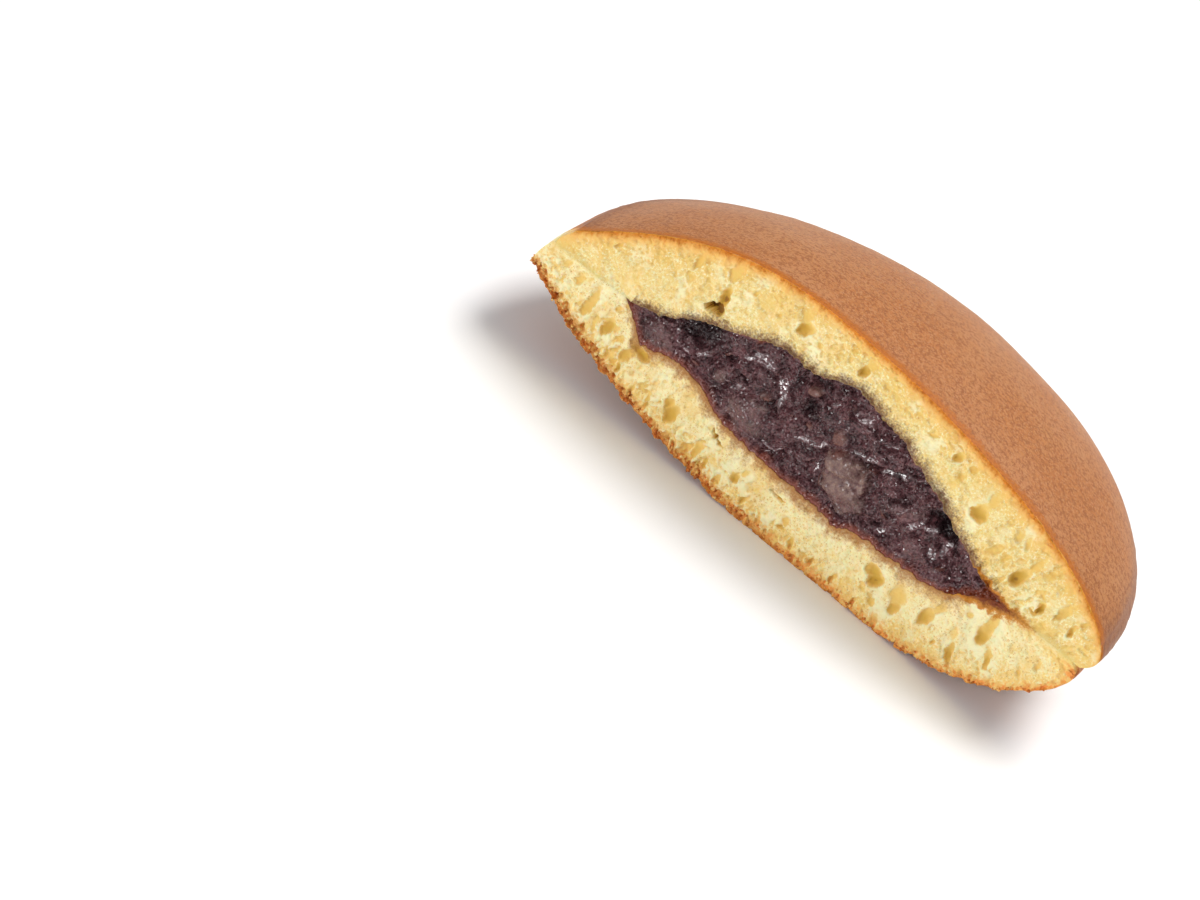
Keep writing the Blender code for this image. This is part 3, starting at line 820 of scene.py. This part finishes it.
def crumb_maker(material):
    """Small torn lumps thrown over a sponge, thickest where its crumbly mark is highest."""
    maker = bpy.data.node_groups.new("Crumbs", "GeometryNodeTree")
    for label, kind in (
        ("Sponge", "NodeSocketGeometry"),
        ("Crumbs per Square Millimetre", "NodeSocketFloat"),
        ("Smallest", "NodeSocketFloat"),
        ("Largest", "NodeSocketFloat"),
        ("Seed", "NodeSocketInt"),
    ):
        maker.interface.new_socket(label, in_out="INPUT", socket_type=kind)
    maker.interface.new_socket("Crumbs", in_out="OUTPUT", socket_type="NodeSocketGeometry")
    t = Tree(maker)
    given, result = t.add("NodeGroupInput"), t.add("NodeGroupOutput")
    seed = given.outputs["Seed"]

    def chance(low, high, shift, kind="FLOAT"):
        node = t.add("FunctionNodeRandomValue", {"Seed": t.plus(seed, shift)}, data_type=kind)
        first_input, output = {"FLOAT": (2, 1), "FLOAT_VECTOR": (0, 0)}[kind]
        t.feed(node.inputs[first_input], low)
        t.feed(node.inputs[first_input + 1], high)
        return node.outputs[output]

    def stored(name):
        return t.add("GeometryNodeInputNamedAttribute", {"Name": name}, data_type="FLOAT").outputs[0]

    def store(geometry, name, value):
        inputs = {"Geometry": geometry, "Name": name, "Value": value}
        node = t.add("GeometryNodeStoreNamedAttribute", inputs, data_type="FLOAT", domain="INSTANCE")
        return node.outputs[0]

    crowd = t.times(t.times(given.outputs["Crumbs per Square Millimetre"], 1e6), stored("crumbly"))
    inputs = {"Mesh": given.outputs["Sponge"], "Density": crowd, "Seed": seed}
    points = t.add("GeometryNodeDistributePointsOnFaces", inputs).outputs["Points"]
    ball = t.add("GeometryNodeMeshIcoSphere", {"Radius": 1.0, "Subdivisions": 2}).outputs["Mesh"]
    bumps = t.add("ShaderNodeTexNoise", {"Scale": 1.7, "Detail": 2.0}).outputs[0]
    push = t.scaled(t.add("GeometryNodeInputNormal").outputs[0], t.times(t.less(bumps, 0.5), 2.6))
    lump = t.add("GeometryNodeSetPosition", {"Geometry": ball, "Offset": push}).outputs[0]
    mostly_small = t.math("POWER", chance(0.0, 1.0, 1), 2.0)
    sizes = {0: mostly_small, 3: given.outputs["Smallest"], 4: given.outputs["Largest"]}
    size = t.add("ShaderNodeMapRange", sizes).outputs[0]
    shape = t.scaled(chance((0.7, 0.7, 0.7), (1.3, 1.3, 1.3), 2, "FLOAT_VECTOR"), size)
    turn = chance((0, 0, 0), (6.3, 6.3, 6.3), 3, "FLOAT_VECTOR")
    inputs = {"Points": points, "Instance": lump, "Rotation": turn, "Scale": shape}
    crumbs = t.add("GeometryNodeInstanceOnPoints", inputs).outputs[0]
    crumbs = store(crumbs, "crust_gap", t.plus(stored("crust_gap"), chance(-1.3, 0.9, 4)))
    crumbs = store(crumbs, "foam", chance(-0.5, 0.5, 5))
    crumbs = t.add("GeometryNodeRealizeInstances", {"Geometry": crumbs}).outputs[0]
    crumbs = t.add("GeometryNodeSetShadeSmooth", {"Geometry": crumbs}).outputs[0]
    crumbs = t.add("GeometryNodeSetMaterial", {"Geometry": crumbs, "Material": material}).outputs[0]
    t.feed(result.inputs[0], crumbs)
    return maker


def crumbs_piece(name, sponge, pancake, maker, values):
    """Loose crumbs left along the torn edge of a sponge."""
    made = bpy.data.objects.new(name, sponge.data.copy())
    bpy.context.scene.collection.objects.link(made)
    modifier = made.modifiers.new("crumbs", "NODES")
    modifier.node_group = maker
    for item in maker.interface.items_tree:
        if item.in_out == "INPUT" and item.name in values:
            modifier[item.identifier] = values[item.name]
    ready = made.evaluated_get(bpy.context.evaluated_depsgraph_get())
    data = bpy.data.meshes.new_from_object(ready)
    made.modifiers.clear()
    made.data = data
    floor_z = MIDDLE.z - resting_height(pancake) * MM
    for vertex in data.vertices:
        vertex.co.z = max(vertex.co.z, floor_z)
    return made


# ---------------------------------------------------------------- bean paste


def mashed_relief(x, z):
    """(depth into the face, how hollow, how glossy) for the mashed paste: lumps, torn ledges and pits."""
    bend_x, bend_z = bent(x, z, 103, (0.6, 2.2, 3))
    hollow, swelling, _ = press_shapes(bend_x, bend_z, PASTE_SHAPES)
    ledges = np.abs(soft_noise(bend_x, bend_z * 1.4, 3.4, 107, 2))
    step = (0.3 * bend_x + bend_z) / 1.7 + 1.3 * soft_noise(x, z, 4.2, 113, 3)
    rise = step - np.floor(step)
    torn_steps = 0.7 * rise * ease(1.0, 0.84, rise) * ease(-0.5, 0.5, soft_noise(x, z, 3.6, 115, 2))
    lumps = 0.5 * soft_noise(bend_x, bend_z, 2.0, 109, 2)
    along, across = 0.93 * bend_x + 0.37 * bend_z, 0.93 * bend_z - 0.37 * bend_x
    torn = 0.4 * np.abs(soft_noise(along * 0.4, across, 1.1, 117, 2))
    cell, number = nearest_cell(bend_x, bend_z, 0.48, 111)
    rough = 0.3 + 0.7 * ease(-0.5, 0.5, soft_noise(x, z, 3.0, 119))
    grains = 0.1 * (cell * cell - 0.2) * (0.7 + 0.6 * number) * rough
    depth = hollow - swelling + ledges + torn_steps + lumps + torn
    waves = 0.065 * soft_noise(along * 0.3, across, 0.7, 121, 2)
    gloss = 0 * x
    for at_x, at_z, half_length, half_height, turn in WET_LEDGES:
        on_ledge = ease(1.6, 0.8, oval(bend_x, bend_z, at_x, at_z, half_length, half_height, turn))
        slanting = 0.8 + LEDGE_SLANT_Z * (z - at_z) + LEDGE_SLANT_X * (x - at_x) + waves
        depth = depth * (1 - on_ledge) + slanting * on_ledge
        gloss = np.maximum(gloss, on_ledge)
    return depth + grains * (1 - 0.85 * gloss), hollow, gloss


def set_beans(x, z, depth):
    """Beans set into the paste: the new depth, and how much of a bean shows at each point."""
    bean = 0 * x
    for bean_x, bean_z, half_width, half_height, turn, proud, pale in BEANS:
        square = oval(x, z, bean_x, bean_z, half_width, half_height, turn)
        square = square * (1 + 0.45 * soft_noise(x, z, 1.8, 131, 3))
        inside = ease(1.45, 0.55, square)
        dome = 0.3 - proud * np.sqrt(np.clip(1.05 - square, 0, 1)) + 0.12 * soft_noise(x, z, 1.6, 133, 3)
        groove = 0.15 * np.exp(-(((square - 1.2) / 0.25) ** 2)) * pale
        depth = depth * (1 - 0.75 * inside) + dome * inside + groove
        bean = np.maximum(bean, pale * inside)
    return depth, bean


def set_skins(x, z, depth):
    """Bits of bean skin on the paste: the new depth, and where they lie."""
    skin = 0 * x
    for skin_x, skin_z, half_length, half_width, turn in SKINS:
        inside = ease(1.2, 0.6, oval(x, z, skin_x, skin_z, half_length, half_width, turn))
        depth = depth * (1 - 0.5 * inside) - 0.15 * inside
        skin = np.maximum(skin, inside)
    return depth, skin


def add_paste_face(rings, cut_x):
    """The paste's cut face, with beans, skins, and syrup at both tips."""
    upper, lower = paste_height(1, cut_x, 0 * cut_x), -paste_height(-1, cut_x, 0 * cut_x)
    shares = dense_ends(PASTE_FACE_ROWS, 0.35)[:, None]
    x = cut_x + 0 * shares
    z = lower + (upper - lower) * shares
    above, below = upper - z, z - lower
    depth, hollow, gloss = mashed_relief(x, z)
    depth, bean = set_beans(x, z, depth)
    depth, skin = set_skins(x, z, depth)
    right_tip = ease(29.0, 31.0, x - 0.9 * z + 0.8 * soft_noise(x, z, 1.5, 137, 2))
    left_tip = ease(-30.8, -33.0, x + 0.6 * soft_noise(x, z, 1.0, 141))
    syrup = np.maximum(right_tip, 0.6 * left_tip)
    depth = depth * ease(-0.05, 0.6, above) * ease(-0.05, 1.8, below)
    depth = depth + 0.12 * (1 - ease(0, 0.3, np.minimum(above, below)))
    sunken = 0.1 + 0.5 * below + 0.1 * soft_noise(x, z, 0.9, 139, 2)
    rings.add_face(
        x,
        depth * (1 - syrup) + sunken * syrup,
        z,
        edge_gap=np.minimum(below, 1.8 * above + 0.3),
        # depth of each hollow, for the painted shade in it
        pit=np.clip(hollow / 1.2, 0, 1),
        bean=bean,
        skin=skin,
        syrup=syrup,
        gloss=gloss,
    )


def paste_piece(name, material):
    """The lens of bean paste, which runs right through to its hidden round edge."""
    rings = Rings("edge_gap", "pit", "bean", "skin", "syrup", "gloss")
    share = dense_ends(PASTE_COLUMNS, 0.15)
    angle = round_angles(FILL_RADIUS, 0.5 / FILL_RADIUS, share)
    cut_x = FILL_ENDS[0] * (1 - share) + FILL_ENDS[1] * share
    rim_x = FILL_MIDDLE[0] + FILL_RADIUS * np.cos(angle)
    rim_y = FILL_MIDDLE[1] + FILL_RADIUS * np.sin(angle)
    add_paste_face(rings, cut_x)
    steps = [(k / PASTE_BACK_ROWS) ** 1.3 for k in range(1, PASTE_BACK_ROWS + 1)]
    for side, way in ((1, steps), (-1, steps[::-1])):
        for step in way:
            x = cut_x + (rim_x - cut_x) * step
            y = rim_y * step
            height = paste_height(side, x, y) if step < 1 else 0 * x + FILL_EDGE / 2
            rings.add(x, y, side * height)
    return rings.piece(name, material)


# ---------------------------------------------------------------- materials


class Tree:
    """Short hand for wiring a node tree."""

    def __init__(self, tree):
        self.tree = tree

    def add(self, kind, inputs=None, **settings):
        node = self.tree.nodes.new(kind)
        for key, value in settings.items():
            setattr(node, key, value)
        for key, value in (inputs or {}).items():
            self.feed(node.inputs[key], value)
        return node

    def feed(self, socket, value):
        if isinstance(value, bpy.types.NodeSocket):
            self.tree.links.new(value, socket)
        elif isinstance(value, (tuple, list)) and len(value) == 3 and socket.type == "RGBA":
            socket.default_value = (*value, 1.0)
        else:
            socket.default_value = value

    def math(self, operation, a, b):
        return self.add("ShaderNodeMath", {0: a, 1: b}, operation=operation).outputs[0]

    def plus(self, a, b):
        return self.math("ADD", a, b)

    def less(self, a, b):
        return self.math("SUBTRACT", a, b)

    def times(self, a, b):
        return self.math("MULTIPLY", a, b)

    def scaled(self, vector, amount):
        inputs = {0: vector, "Scale": amount}
        return self.add("ShaderNodeVectorMath", inputs, operation="SCALE").outputs[0]

    def span(self, value, low, high, to_low=0.0, to_high=1.0):
        inputs = {0: value, 1: low, 2: high, 3: to_low, 4: to_high}
        return self.add("ShaderNodeMapRange", inputs, interpolation_type="SMOOTHSTEP").outputs[0]

    def mix(self, share, a, b, blend="MIX"):
        inputs = {0: share, 6: a, 7: b}
        return self.add("ShaderNodeMix", inputs, data_type="RGBA", blend_type=blend).outputs[2]

    def tint(self, share, color, tint):
        return self.mix(share, color, tint, "MULTIPLY")

    def mark(self, name):
        return self.add("ShaderNodeAttribute", attribute_name=name).outputs["Fac"]

    def place(self, scale=(1, 1, 1), turn=0.0):
        """Where on the sweet, turned round Y and then drawn out."""
        where = self.add("ShaderNodeTexCoord").outputs["Object"]
        where = self.add("ShaderNodeMapping", {"Vector": where, "Rotation": (0, turn, 0)}).outputs[0]
        return self.add("ShaderNodeMapping", {"Vector": where, "Scale": scale}).outputs[0]

    def noise(self, size, detail=2.0, roughness=0.5, scale=(1, 1, 1), turn=0.0):
        """Noise from 0 to 1 with features about `size` millimetres across."""
        inputs = {
            "Vector": self.place(scale, turn),
            "Scale": 1 / (size * MM),
            "Detail": detail,
            "Roughness": roughness,
        }
        return self.add("ShaderNodeTexNoise", inputs).outputs[0]

    def stir(self, size, detail=2.0, roughness=0.5, scale=(1, 1, 1)):
        """The same noise, from -0.5 to 0.5."""
        return self.less(self.noise(size, detail, roughness, scale), 0.5)

    def cells(self, size):
        """A pattern of cells about `size` millimetres across."""
        return self.add("ShaderNodeTexVoronoi", {"Vector": self.place(), "Scale": 1 / (size * MM)})

    def facets(self, size, lean):
        """Little flat faces, each turned its own way about the lean: the height in millimetres."""
        cell = self.cells(size)
        inputs = {0: self.place(), 1: cell.outputs["Position"]}
        offset = self.add("ShaderNodeVectorMath", inputs, operation="SUBTRACT").outputs[0]
        inputs = {0: cell.outputs["Color"], 1: lean}
        slope = self.add("ShaderNodeVectorMath", inputs, operation="SUBTRACT").outputs[0]
        height = self.add("ShaderNodeVectorMath", {0: offset, 1: slope}, operation="DOT_PRODUCT")
        return self.math("DIVIDE", height.outputs["Value"], MM)


def new_group(name, inputs, outputs):
    group = bpy.data.node_groups.new(name, "ShaderNodeTree")
    for label, kind, default in inputs:
        socket = group.interface.new_socket(label, in_out="INPUT", socket_type=kind)
        socket.default_value = (*default, 1.0) if isinstance(default, tuple) else default
    for label, kind in outputs:
        group.interface.new_socket(label, in_out="OUTPUT", socket_type=kind)
    tree = Tree(group)
    return group, tree, tree.add("NodeGroupInput").outputs, tree.add("NodeGroupOutput").inputs


def crust_group():
    """Browned skin: speckled and cloudy, and darker towards the rim."""
    group, t, given, result = new_group(
        "Browned skin",
        [
            ("Crust", "NodeSocketColor", CRUST),
            ("Dark", "NodeSocketColor", CRUST_DARK),
            ("Pale", "NodeSocketColor", CRUST_PALE),
            ("Speckle", "NodeSocketFloat", 0.5),
        ],
        [("Color", "NodeSocketColor"), ("Grain", "NodeSocketFloat")],
    )
    speck = t.noise(0.70, 4.0, 0.8)
    fine = t.noise(0.40, 2.0, 0.6)
    color = t.mix(t.span(t.noise(13.0, 3.0, 0.55), 0.3, 0.72), given["Crust"], given["Pale"])
    color = t.mix(t.times(t.span(speck, 0.44, 0.58), given["Speckle"]), color, given["Dark"])
    color = t.mix(t.times(t.span(fine, 0.5, 0.62), given["Speckle"]), color, given["Pale"])
    near_rim = t.plus(t.mark("rim"), t.times(t.less(speck, 0.5), 0.5))
    color = t.mix(t.span(near_rim, 0.3, 1.1, 0.0, 0.55), color, CRUST_RIM)
    t.feed(result["Color"], color)
    t.feed(result["Grain"], t.plus(t.times(speck, 0.6), t.times(fine, 0.5)))
    return group


def crumb_color(t, given, froth, pores):
    """Open crumb: flecked foam pricked with pores, with painted highlight on raised froth and lumps, and
    painted shade in pores, cells and creases and in bubbles, yellow to amber to brown the deeper they are.
    """
    gap, hollow, foam = t.mark("crust_gap"), t.mark("hollow"), t.mark("foam")
    inward = t.plus(gap, t.times(t.stir(2.2, 3.0, 0.55), 9.0))
    color = t.mix(t.span(inward, 1.5, 6.0), given["Crumb"], given["Pale Crumb"])
    # painted shade and painted highlight: yellower where the froth bump dips, paler where it rises
    color = t.mix(t.span(froth, 0.5, 0.34, 0.0, 0.75), color, YELLOW)
    color = t.mix(t.span(froth, 0.5, 0.64, 0.0, 0.9), color, FLECK_AND_HIGHLIGHT)
    clear = t.noise(3.0, 2.0, 0.5, (1, 1, 0.5))
    color = t.mix(t.span(clear, 0.5, 0.68, 0.0, 0.5), color, CLEAR)
    # painted shade in the pores
    pricked = t.plus(t.times(given["Grainy"], 0.35), 0.5)
    color = t.mix(t.times(pores, pricked), color, PORE_SHADE)
    # painted shade yellows the cut face's cells and creases; painted highlight pales its swells, lumps and
    # bubble rims
    color = t.mix(t.span(foam, 0.08, 0.9, 0.0, 0.8), color, YELLOW)
    color = t.mix(t.span(foam, -0.05, -0.8, 0.0, 0.8), color, FLECK_AND_HIGHLIGHT)
    # painted shade in the opened bubbles: yellow, then amber, then brown the deeper they are
    color = t.mix(t.span(hollow, 0.04, 0.4, 0.0, 0.9), color, YELLOW)
    color = t.mix(t.span(hollow, 0.35, 0.9, 0.0, 0.85), color, AMBER_SHADE)
    color = t.mix(t.span(hollow, 0.9, 1.0, 0.0, 0.85), color, BROWN_SHADE)
    # red-brown in deep places near the lower crust: toast colour there, and painted shade in the pits
    torn = t.times(t.span(hollow, 0.05, 0.4), t.span(gap, 2.2, 0.9))
    return t.mix(t.times(t.times(torn, given["Grainy"]), 0.85), color, PIT_TOAST_AND_SHADE)


def toasted_color(t, given, crumb, skin):
    """From the crumb out to the browned skin: gold, toast, and a burnt edge where the cut meets the skin."""
    gap = t.mark("crust_gap")
    streak = t.stir(0.75, 3.0, 0.6, (1, 1, 0.4))
    grain = t.times(t.less(t.cells(0.5).outputs["Color"], 0.5), given["Grainy"])
    depth = t.plus(t.math("DIVIDE", gap, given["Toast Reach"]), t.times(streak, 1.3))
    depth = t.plus(depth, t.times(grain, 1.6))
    color = t.mix(t.span(depth, 0.5, 2.0), given["Gold"], crumb)
    color = t.mix(t.span(depth, 0.0, 0.95), given["Toast"], color)
    past_edge = t.plus(t.plus(gap, t.times(streak, 1.1)), t.times(grain, 0.4))
    past_edge = t.plus(past_edge, t.times(t.stir(0.5, 3.0, 0.6), 3.2))
    speckled = t.span(t.noise(0.45, 3.0, 0.7), 0.46, 0.6, 0.0, 0.55)
    edge = t.tint(speckled, given["Edge"], EDGE_SPECKS)
    color = t.mix(t.span(past_edge, -0.5, 0.4), edge, color)
    # painted shade on the lower pancake's left end, and a slight fixed darkening at the crust edge and side
    # band
    color = t.tint(t.times(t.span(depth, 0.3, 1.5, 1.0, 0.0), t.mark("baked")), color, DARK_TINT)
    return t.mix(t.span(past_edge, -2.4, -0.9), skin, color)


def pasted_color(t, given, color):
    """What the paste leaves on the sponge: dust above it, a brown soak below, and syrup past its tip."""
    wet, paste, soaked = t.mark("wet"), t.mark("paste_gap"), t.mark("soaked")
    cloud = t.stir(2.6, 2.0, 0.5)
    grit = t.stir(0.32, 2.0, 0.6)
    dust = t.plus(t.times(t.less(2.5, paste), 0.4), t.times(cloud, 0.7))
    dust = t.span(t.plus(dust, t.times(grit, 1.35)), 0.2, 1.1)
    dust = t.times(dust, t.span(paste, 1.8, 3.2, 1.0, 0.0))
    dust = t.times(t.times(dust, t.mark("cut")), given["Dust"])
    color = t.mix(t.times(dust, 0.9), color, SMEAR)
    uneven = t.plus(soaked, t.plus(grit, t.times(cloud, 0.4)))
    color = t.mix(t.times(t.span(uneven, 0.08, 1.0, 0.0, 0.92), t.span(soaked, 0.0, 0.2)), color, SOAK)
    uneven = t.plus(wet, t.times(grit, t.span(wet, 0.0, 0.3, 0.0, 0.8)))
    color = t.mix(t.span(uneven, 0.0, 0.45, 0.0, 0.95), color, STAIN_PALE)
    return t.mix(t.span(uneven, 0.35, 1.1, 0.0, 0.97), color, STAIN)


def sponge_group(skin):
    """Sponge from its browned skin inwards: toast, gold and pale crumb, with bubbles painted amber as shade,
    and stains.
    """
    group, t, given, result = new_group(
        "Sponge",
        [
            ("Crust", "NodeSocketColor", CRUST),
            ("Dark", "NodeSocketColor", CRUST_DARK),
            ("Pale", "NodeSocketColor", CRUST_PALE),
            ("Edge", "NodeSocketColor", EDGE),
            ("Toast", "NodeSocketColor", TOAST),
            ("Gold", "NodeSocketColor", GOLD),
            ("Crumb", "NodeSocketColor", CRUMB),
            ("Pale Crumb", "NodeSocketColor", CRUMB_PALE),
            ("Speckle", "NodeSocketFloat", 0.5),
            ("Toast Reach", "NodeSocketFloat", 1.0),
            ("Grainy", "NodeSocketFloat", 0.0),
            ("Dust", "NodeSocketFloat", 1.0),
        ],
        [("Color", "NodeSocketColor"), ("Roughness", "NodeSocketFloat"), ("Height", "NodeSocketFloat")],
    )
    passed_on = {label: given[label] for label in ("Crust", "Dark", "Pale", "Speckle")}
    shell = t.add("ShaderNodeGroup", passed_on, node_tree=skin)
    froth = t.noise(0.36, 4.0, 0.7)
    pores = t.span(t.cells(0.42).outputs["Distance"], 0.12, 0.36, 1.0, 0.0)
    pores = t.times(pores, t.span(t.noise(1.3, 3.0, 0.65), 0.42, 0.56))
    crumb = crumb_color(t, given, froth, pores)
    color = toasted_color(t, given, crumb, shell.outputs["Color"])
    t.feed(result["Color"], pasted_color(t, given, color))
    cut = t.mark("cut")
    rough = t.mix(cut, (0.5, 0.5, 0.5), (0.75, 0.75, 0.75))
    t.feed(result["Roughness"], t.mix(t.times(t.mark("wet"), 0.8), rough, (0.3, 0.3, 0.3)))
    foam = t.times(t.less(froth, t.times(pores, 0.35)), cut)
    foam = t.times(foam, t.less(1.1, t.mark("hollow")))
    skin_grain = t.times(shell.outputs["Grain"], t.less(1.0, cut))
    t.feed(result["Height"], t.plus(foam, t.times(skin_grain, 0.5)))
    return group


def new_material(name):
    made = bpy.data.materials.new(name)
    made.use_nodes = True
    return made, Tree(made.node_tree), made.node_tree.nodes["Principled BSDF"].inputs


def sponge_material(name, group, look, bump, glow):
    """Sponge with relief of `bump` millimetres, and light soaking into it by a share of `glow`."""
    made, t, shader = new_material(name)
    sponge = t.add("ShaderNodeGroup", look, node_tree=group)
    t.feed(shader["Base Color"], sponge.outputs["Color"])
    t.feed(shader["Roughness"], sponge.outputs["Roughness"])
    inputs = {"Height": sponge.outputs["Height"], "Strength": 0.4, "Distance": bump * MM}
    t.feed(shader["Normal"], t.add("ShaderNodeBump", inputs).outputs[0])
    shader["Subsurface Weight"].default_value = glow
    shader["Subsurface Radius"].default_value = (1.0, 0.62, 0.28)
    shader["Subsurface Scale"].default_value = 0.7 * MM
    shader["Specular IOR Level"].default_value = 0.35
    return made


def paste_material():
    """Moist mashed beans: dark with a grey haze and wet facets, redder at the edge and past the tips, with
    painted shade in its hollows.
    """
    made, t, shader = new_material("bean_paste")
    haze = t.noise(2.4, 4.0, 0.65)
    mash = t.noise(0.30, 3.0, 0.7)
    bean, gloss = t.mark("bean"), t.mark("gloss")
    thick = t.plus(t.times(haze, 0.55), t.times(mash, 0.6))
    color = t.mix(t.span(thick, 0.38, 0.74), PASTE, PASTE_HAZE)
    # painted shade in the paste's hollows
    color = t.mix(t.times(t.mark("pit"), 0.85), color, PASTE_PIT_SHADE)
    edge = t.span(t.plus(t.mark("edge_gap"), t.times(haze, 2.4)), 1.2, 2.5, 0.95, 0.0)
    color = t.mix(edge, color, PASTE_RED)
    color = t.mix(t.mark("syrup"), color, SYRUP)
    flesh = t.mix(t.span(t.noise(1.1, 4.0, 0.65), 0.35, 0.7), BEAN, BEAN_PALE)
    color = t.mix(t.times(bean, t.span(mash, 0.35, 0.65, 1.0, 0.4)), color, flesh)
    color = t.mix(t.times(t.mark("skin"), 0.7), color, SKIN)
    t.feed(shader["Base Color"], color)
    rough = t.span(t.noise(0.8, 3.0, 0.6), 0.38, 0.66, 0.15, 0.34)
    t.feed(shader["Roughness"], t.less(rough, t.times(gloss, 0.06)))
    fibres = t.plus(t.noise(0.6, 1.5, 0.5, (0.35, 1, 1), 0.4), t.times(t.noise(0.34, 1.0, 0.5), 0.7))
    faces = t.times(t.facets(0.29, FACET_LEAN), 1.3)
    smooth = t.math("MAXIMUM", gloss, t.times(bean, 0.8))
    relief = t.times(t.plus(t.times(fibres, 0.08), faces), t.less(1.0, t.times(smooth, 0.84)))
    inputs = {"Height": relief, "Strength": 1.0, "Distance": MM}
    t.feed(shader["Normal"], t.add("ShaderNodeBump", inputs).outputs[0])
    shader["Specular IOR Level"].default_value = 0.6
    return made


def floor_material():
    made, t, shader = new_material("pale_floor")
    t.feed(shader["Base Color"], t.mix(t.noise(90.0, 2.0, 0.5), (0.93, 0.93, 0.94), (0.95, 0.95, 0.96)))
    shader["Roughness"].default_value = 0.6
    return made


# ---------------------------------------------------------------- camera, floor and light

CAMERA_TURN, CAMERA_RISE, CAMERA_ROLL = 11.74, 33.91, 32.8  # degrees
CAMERA_DISTANCE = 500.0
CAMERA_SHIFT = (29.34, -0.08)  # how far the view's middle lies to the left of the sweet's and below it
CAMERA_LENS, CAMERA_SENSOR = 108.3, 36.0
FLOOR_HALF_SIZE = 1.5  # metres

SKY_COLOR, SKY_STRENGTH = (0.98, 0.99, 1.0, 1.0), 0.38
# Lamps: (name, direction from the sweet, distance and size in metres, watts, colour)
LAMPS = (
    ("key", (0.2, 0.32, 1.0), 0.6, 0.3, 3.5, (1.0, 0.985, 0.96)),
    ("front", (-0.55, -1.0, 0.35), 0.7, 0.125, 1.33, (1, 1, 1)),
    ("glint", (-0.25, -1.0, 0.14), 0.7, 0.06, 0.55, (1, 1, 1)),
)


def set_camera():
    turn, rise, roll = (math.radians(a) for a in (CAMERA_TURN, CAMERA_RISE, CAMERA_ROLL))
    right = Vector((math.cos(turn), math.sin(turn), 0))
    back = Vector((math.sin(turn) * math.cos(rise), -math.cos(turn) * math.cos(rise), math.sin(rise)))
    up = back.cross(right)
    across = right * math.cos(roll) + up * math.sin(roll)
    upward = up * math.cos(roll) - right * math.sin(roll)
    place = back * CAMERA_DISTANCE - across * CAMERA_SHIFT[0] - upward * CAMERA_SHIFT[1]
    data = bpy.data.cameras.new("camera")
    data.sensor_width, data.lens = CAMERA_SENSOR, CAMERA_LENS
    data.clip_start, data.clip_end = 0.01, 10.0
    camera = bpy.data.objects.new("camera", data)
    facing = Matrix((across, upward, back)).transposed().to_4x4()
    camera.matrix_world = Matrix.Translation(MIDDLE + place * MM) @ facing
    bpy.context.scene.collection.objects.link(camera)
    bpy.context.scene.camera = camera


def add_lamp(name, direction, distance, size, power, color):
    """A soft square lamp that shines on the sweet from the given direction."""
    aim = Vector(direction).normalized()
    data = bpy.data.lights.new(name, "AREA")
    data.shape = "SQUARE"
    data.size, data.energy, data.color = size, power, color
    lamp = bpy.data.objects.new(name, data)
    lamp.location = MIDDLE + aim * distance
    lamp.rotation_mode = "QUATERNION"
    lamp.rotation_quaternion = aim.to_track_quat("Z", "Y")
    bpy.context.scene.collection.objects.link(lamp)


def set_light():
    world = bpy.data.worlds.new("studio")
    bpy.context.scene.world = world
    world.use_nodes = True
    sky = world.node_tree.nodes["Background"]
    sky.inputs["Color"].default_value = SKY_COLOR
    sky.inputs["Strength"].default_value = SKY_STRENGTH
    for lamp in LAMPS:
        add_lamp(*lamp)
    bpy.context.scene.view_settings.view_transform = "Standard"


def set_floor(material):
    half = FLOOR_HALF_SIZE
    points = [(-half, -half, 0), (half, -half, 0), (half, half, 0), (-half, half, 0)]
    data = bpy.data.meshes.new("floor")
    data.from_pydata(points, [], [(0, 1, 2, 3)])
    data.materials.append(material)
    floor = bpy.data.objects.new("floor", data)
    bpy.context.scene.collection.objects.link(floor)


# ---------------------------------------------------------------- making

TOP_LOOK = {"Speckle": 0.85, "Toast Reach": 1.35, "Dust": 1.0}
BOTTOM_LOOK = {
    "Speckle": 0.9,
    "Toast Reach": 1.15,
    "Dust": 0.0,
    "Grainy": 1.0,
    "Edge": EDGE_LOW,
    "Toast": TOAST_LOW,
    "Gold": GOLD_LOW,
    "Crumb": CRUMB_LOW,
    "Pale Crumb": CRUMB_LOW_PALE,
}
LOOSE_CRUMBS = {"Crumbs per Square Millimetre": 2.6, "Smallest": 0.08 * MM, "Largest": 0.29 * MM, "Seed": 5}


def show(piece, slot, *nodes):
    """Set a finished piece on the body in place of the named CAD nodes; the slot is not used."""
    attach(piece, "root")
    if nodes:
        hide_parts(*nodes)


def main():
    sponge = sponge_group(crust_group())
    top_sponge = sponge_material("top_sponge", sponge, TOP_LOOK, 0.34, 0.5)
    low_sponge = sponge_material("bottom_sponge", sponge, BOTTOM_LOOK, 0.5, 0.5)
    torn_sponge = sponge_material("torn_crumbs", sponge, BOTTOM_LOOK, 0.10, 0.1)
    show(pancake_piece("top_pancake_sponge", TOP, top_sponge), "top_sponge", "top_pancake")
    lower = pancake_piece("bottom_pancake_sponge", BOTTOM, low_sponge)
    show(lower, "bottom_sponge", "bottom_pancake")
    crumbs = crumbs_piece("bottom_crumbs", lower, BOTTOM, crumb_maker(torn_sponge), LOOSE_CRUMBS)
    show(crumbs, "bottom_sponge")
    show(paste_piece("bean_paste", paste_material()), "bean_paste", "bean_filling")
    set_floor(floor_material())
    set_camera()
    set_light()


main()
